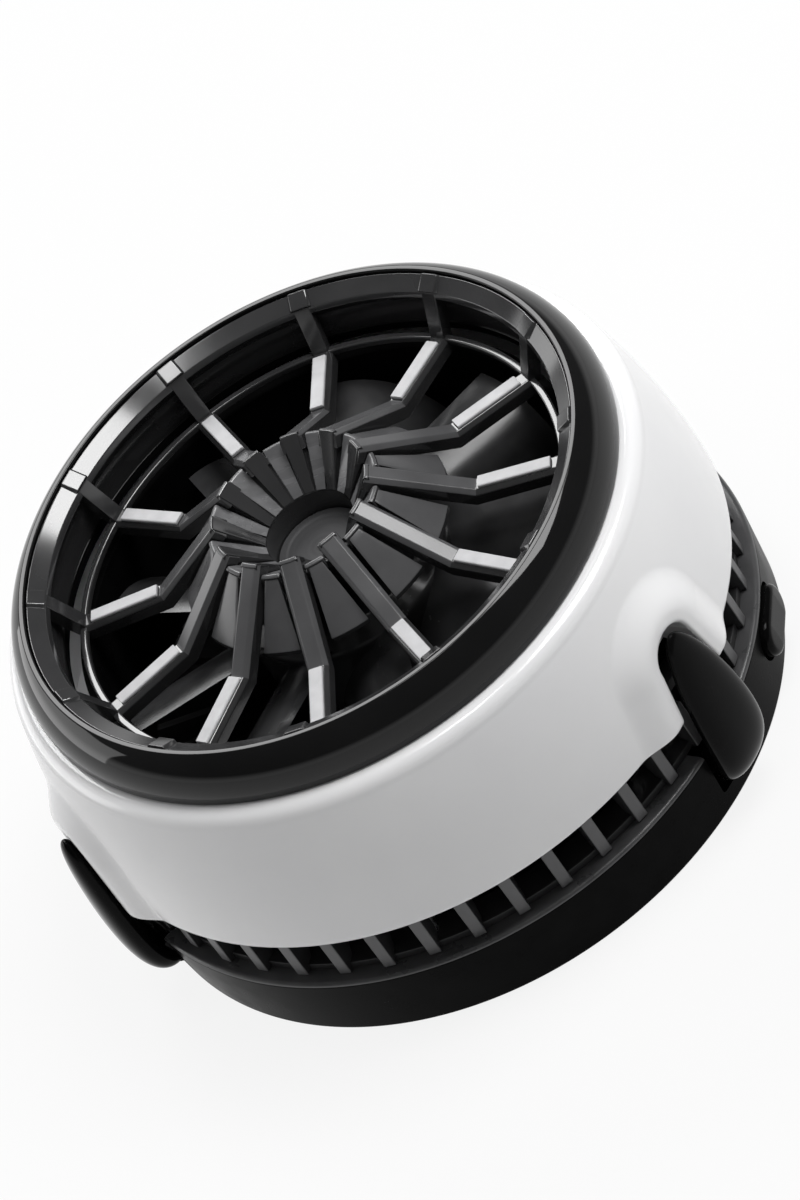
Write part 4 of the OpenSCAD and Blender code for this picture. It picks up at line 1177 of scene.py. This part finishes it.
@dataclass
class PowerButton(Part):
    """Capsule button with rounded edges and hidden ears."""

    length: float = 7.5
    height: float = 3.8
    face_r: float = 33.7
    angle: float = -4.5
    level: float = 4.7
    ear_x: float = 26.6
    ear_t: float = 0.6
    ear_l: float = 8.9
    round_r: float = 0.55
    round_steps: int = 8
    face_steps: int = 5
    centre: float = 0.02

    def flat_ring(self, x: float, length: float) -> list[Place]:
        """One flat ring of the button's skin, at a distance from the fan axis."""
        return [(x, y, z + self.level) for y, z in capsule(length, self.height, 0.0, 18)]

    def face_ring(self, inset: float, drop: float) -> list[Place]:
        """One ring that follows the curved face, drawn in by an inset and behind the face by a drop."""
        return [(math.sqrt(self.face_r ** 2 - y * y) - drop, y, z + self.level)
                for y, z in capsule(self.length, self.height, inset, 18)]

    def build(self) -> None:
        """Makes the button."""
        ear = self.ear_x + self.ear_t
        rings = [self.flat_ring(self.ear_x, self.ear_l), self.flat_ring(ear, self.ear_l),
                 self.flat_ring(ear, self.length)]
        for k in range(self.round_steps + 1):
            t = math.pi / 2 * k / self.round_steps
            rings.append(self.face_ring(self.round_r * (1 - math.cos(t)), self.round_r * (1 - math.sin(t))))
        inner = self.height / 2 - self.round_r - self.centre
        for k in range(1, self.face_steps + 1):
            rings.append(self.face_ring(self.round_r + inner * k / self.face_steps, 0.0))
        made = Shape().loft(rings).turned(self.angle).to_object("power_button_cap")
        self.finish_piece(made, CLAW_BLACK, "button", "power_button")


@dataclass
class Claw(Part):
    """One curved claw with the knuckle that turns on its pin."""

    number: int = 1
    angle: float = CLAW_ANGLES[0]
    hinge: Point = (31.6, 4.8)
    root_shift: float = 0.1
    bend: Point = (35.5, 1.6)
    belly: Point = (34.4, 13.3)
    tip: Point = (34.3, 21.0)
    root_t: float = 1.8
    tip_t: float = 1.15
    root_w: float = 2.7
    tip_w: float = 2.0
    belly_w: float = 1.2
    knuckle_r: float = 1.9
    pin_r: float = 0.65
    pin_l: float = 20.0
    spring_r: float = 1.6
    spring_w: float = 1.55
    stations: int = 72
    sides: int = 56
    squareness: float = 0.9
    end: float = 0.9985
    look_ahead: float = 0.002
    tip_power: int = 8
    slot_over: float = 1.0

    def spine(self, t: float) -> Vector:
        """Point of the claw's middle line, as radius and height."""
        a, b = Vector((self.hinge[0] + self.root_shift, self.hinge[1])), Vector(self.bend)
        c, d = Vector(self.belly), Vector(self.tip)
        return a * (1 - t) ** 3 + b * (3 * t * (1 - t) ** 2) + c * (3 * t * t * (1 - t)) + d * t ** 3

    def squared(self, value: float) -> float:
        """A sine or cosine, drawn a little to the corners of a square."""
        return math.copysign(abs(value) ** self.squareness, value)

    def skin(self) -> Shape:
        """The claw's curved body along X."""
        turns = [math.tau * j / self.sides for j in range(self.sides)]
        rings = []
        for i in range(self.stations):
            t = self.end * math.sin(math.pi / 2 * i / (self.stations - 1))
            rounding = math.sqrt(1 - t ** self.tip_power)
            p = self.spine(t)
            run = (self.spine(t + self.look_ahead) - p).normalized()
            thick = (self.tip_t + (self.root_t - self.tip_t) * (1 - t)) * rounding
            wide = self.root_w * (1 - t) + self.tip_w * t + self.belly_w * math.sin(math.pi * t)
            ring = []
            for g in turns:
                e = thick * self.squared(math.sin(g))
                ring.append((p.x + run.y * e, wide * rounding * self.squared(math.cos(g)), p.y - run.x * e))
            rings.append(ring)
        return Shape().loft(rings)

    def bar(self, radius: float, length: float) -> Shape:
        """Round bar along the hinge axis."""
        return Shape().across(circle(*self.hinge, radius, 48), length).turned(self.angle)

    def build(self) -> None:
        """Makes the claw."""
        made = self.skin().turned(self.angle).to_object(f"claw_gloss_{self.number}")
        carve(made, self.bar(self.knuckle_r, 2 * self.root_w), "UNION")
        carve(made, self.bar(self.spring_r, 2 * self.spring_w))
        (x, z), up = self.hinge, self.spring_r
        back = x - self.knuckle_r - self.slot_over
        slot = Shape().across([(back, z - up), (x, z - up), (x, z + up), (back, z + up)], 2 * self.spring_w)
        carve(made, slot.turned(self.angle))
        carve(made, self.bar(self.pin_r, self.pin_l))
        self.finish_piece(made, CLAW_BLACK, f"latch_{self.number}", f"claw_{self.number}")


@dataclass
class CarriedNodes:
    """CAD nodes that keep their own shape and only take a finish."""

    finishes: dict[str, Finish] = field(default_factory=lambda: {
        "base_plate": SATIN_BLACK, "cold_plate": ALUMINIUM, "magnet_ring": NICKEL, "gasket": FOAM,
        "peltier_module": CERAMIC, "heat_sink": ANODISED, "sink_screws": STEEL, "case_screws": STEEL,
        "fan_frame": SATIN_BLACK, "bearing": BRONZE, "thrust_pad": NYLON, "stator_core": STEEL,
        "stator_coils": COPPER, "motor_shaft": STEEL, "rotor_magnet": FERRITE, "circuit_board": BOARD,
        "usb_socket": STEEL, "tact_switch": STEEL, "switch_plunger": SMOKE, "hinge_pins": STEEL,
        "claw_springs": STEEL})

    def dress(self) -> None:
        """Gives each carried node its finish."""
        for name, finish in self.finishes.items():
            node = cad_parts[name]
            if not node.material_slots:
                node.data.materials.append(None)
            for place in node.material_slots:
                place.material = finish.material()
            log.info("%s: CAD node in %s", name, finish.name)


@dataclass
class Softbox:
    """One soft area light that faces the object."""

    name: str
    azimuth: float
    elevation: float
    distance: float
    size: Point
    power: float
    aim: Place = (0.0, 0.0, 20.0)

    def build(self) -> None:
        """Makes the light."""
        light = bpy.data.lights.new(self.name, "AREA")
        light.shape = "RECTANGLE"
        light.size, light.size_y = self.size[0] * MM, self.size[1] * MM
        light.energy = self.power
        lamp = bpy.data.objects.new(self.name, light)
        turn, rise = math.radians(self.azimuth), math.radians(self.elevation)
        away = Vector(polar(math.cos(rise), turn, math.sin(rise)))
        lamp.location = (Vector(self.aim) + away * self.distance) * MM
        lamp.rotation_euler = (-away).to_track_quat("-Z", "Y").to_euler()
        lamp.visible_camera = False
        bpy.context.scene.collection.objects.link(lamp)


@dataclass
class Studio:
    """Camera, pale floor, soft lights and surroundings."""

    camera_at: Place = (238.26, -502.07, 506.47)
    aim: Place = (2.195, 1.820, 17.4)
    roll: float = 35.64
    lens: float = 247.43
    sensor: float = 36.0
    floor_size: float = 6000.0
    floor_cells: int = 12
    floor_tone: float = 0.65
    floor_glow: float = 0.87
    fill: float = 0.22
    horizon: Point = (0.07, 0.22)
    backdrop: float = 0.12
    lights: tuple[Softbox, ...] = (
        Softbox("key softbox", 25.0, 62.0, 600.0, (300.0, 300.0), 3.1),
        Softbox("left softbox", 165.0, 11.0, 500.0, (400.0, 300.0), 0.85),
        Softbox("overhead softbox", 0.0, 88.0, 700.0, (160.0, 160.0), 0.7),
        Softbox("back softbox", 115.0, 41.0, 600.0, (250.0, 250.0), 1.55))

    def place_camera(self) -> None:
        """Puts the camera where the photograph was taken from."""
        lens = bpy.data.cameras.new("camera")
        lens.sensor_fit, lens.sensor_height, lens.lens = "VERTICAL", self.sensor, self.lens
        lens.clip_start, lens.clip_end = 0.01, 20.0
        camera = bpy.data.objects.new("camera", lens)
        here, there = Vector(self.camera_at) * MM, Vector(self.aim) * MM
        level = (there - here).to_track_quat("-Z", "Y")
        camera.rotation_mode = "QUATERNION"
        camera.location = here
        camera.rotation_quaternion = level @ Quaternion((0, 0, 1), math.radians(-self.roll))
        bpy.context.scene.collection.objects.link(camera)
        bpy.context.scene.camera = camera

    @staticmethod
    def seen(sketch: Sketch) -> bpy.types.NodeSocket:
        """Value that is one for camera, glossy and transmission rays and zero for the others.

        Args:
            sketch: Where the nodes are added.

        Returns:
            The value's socket.
        """
        rays = sketch.add("ShaderNodeLightPath").outputs
        total = sketch.math("ADD", rays["Is Camera Ray"], rays["Is Glossy Ray"])
        total = sketch.math("ADD", total, rays["Is Transmission Ray"])
        return sketch.math("MINIMUM", total, 1.0)

    def lay_floor(self) -> None:
        """Makes the pale floor, white to the camera but with the object's shadow on it."""
        count = self.floor_cells
        marks = [self.floor_size * (k / count - 0.5) for k in range(count + 1)]
        corners = [i * (count + 1) + j for i in range(count) for j in range(count)]
        floor = Shape().add([(x, y, 0) for x in marks for y in marks],
                            [(c, c + count + 1, c + count + 2, c + 1) for c in corners]).to_object("floor")
        made = bpy.data.materials.new("pale floor")
        sketch = Sketch.fresh(made)
        matt = sketch.add("ShaderNodeBsdfDiffuse", {"Color": (*[self.floor_tone] * 3, 1.0)})
        white = sketch.add("ShaderNodeEmission", {"Color": (1.0, 1.0, 1.0, 1.0), "Strength": 1.0})
        share = sketch.math("MULTIPLY", self.seen(sketch), self.floor_glow)
        mixed = sketch.add("ShaderNodeMixShader", {0: share, 1: matt.outputs[0], 2: white.outputs[0]})
        sketch.add("ShaderNodeOutputMaterial", {"Surface": mixed.outputs[0]})
        floor.data.materials.append(made)

    def surround(self) -> None:
        """Sets the soft fill, and the backdrop that glossy pieces mirror."""
        world = bpy.data.worlds.new("studio")
        bpy.context.scene.world = world
        sketch = Sketch.fresh(world)
        way = sketch.add("ShaderNodeTexCoord").outputs["Generated"]
        height = sketch.add("ShaderNodeSeparateXYZ", {0: way}).outputs["Z"]
        ramp = sketch.add("ShaderNodeValToRGB", {"Fac": height})
        for stop, at, tone in zip(ramp.color_ramp.elements, self.horizon, (1.0, self.backdrop)):
            stop.position, stop.color = at, (tone, tone, tone, 1.0)
        fill = sketch.add("ShaderNodeBackground", {"Color": (1.0, 1.0, 1.0, 1.0), "Strength": self.fill})
        back = sketch.add("ShaderNodeBackground", {"Color": ramp.outputs[0], "Strength": 1.0})
        mixed = sketch.add("ShaderNodeMixShader", {
            0: self.seen(sketch), 1: fill.outputs[0], 2: back.outputs[0]})
        sketch.add("ShaderNodeOutputWorld", {"Surface": mixed.outputs[0]})

    def build(self) -> None:
        """Makes the whole studio."""
        bpy.context.scene.view_settings.view_transform = "Standard"
        self.place_camera()
        self.lay_floor()
        self.surround()
        for light in self.lights:
            light.build()


def main() -> None:
    """Builds the studio and every piece."""
    logging.basicConfig(level=logging.INFO, format="%(name)s: %(message)s")
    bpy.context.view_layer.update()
    Studio().build()
    parts = (BezelRing, GrilleWheel, OuterShell, VentRing, BaseRing, ContactPad, Impeller, PowerButton)
    for part in parts:
        part().build()
    for number, angle in enumerate(CLAW_ANGLES, 1):
        Claw(number=number, angle=angle).build()
    CarriedNodes().dress()


if __name__ == "__main__":
    main()
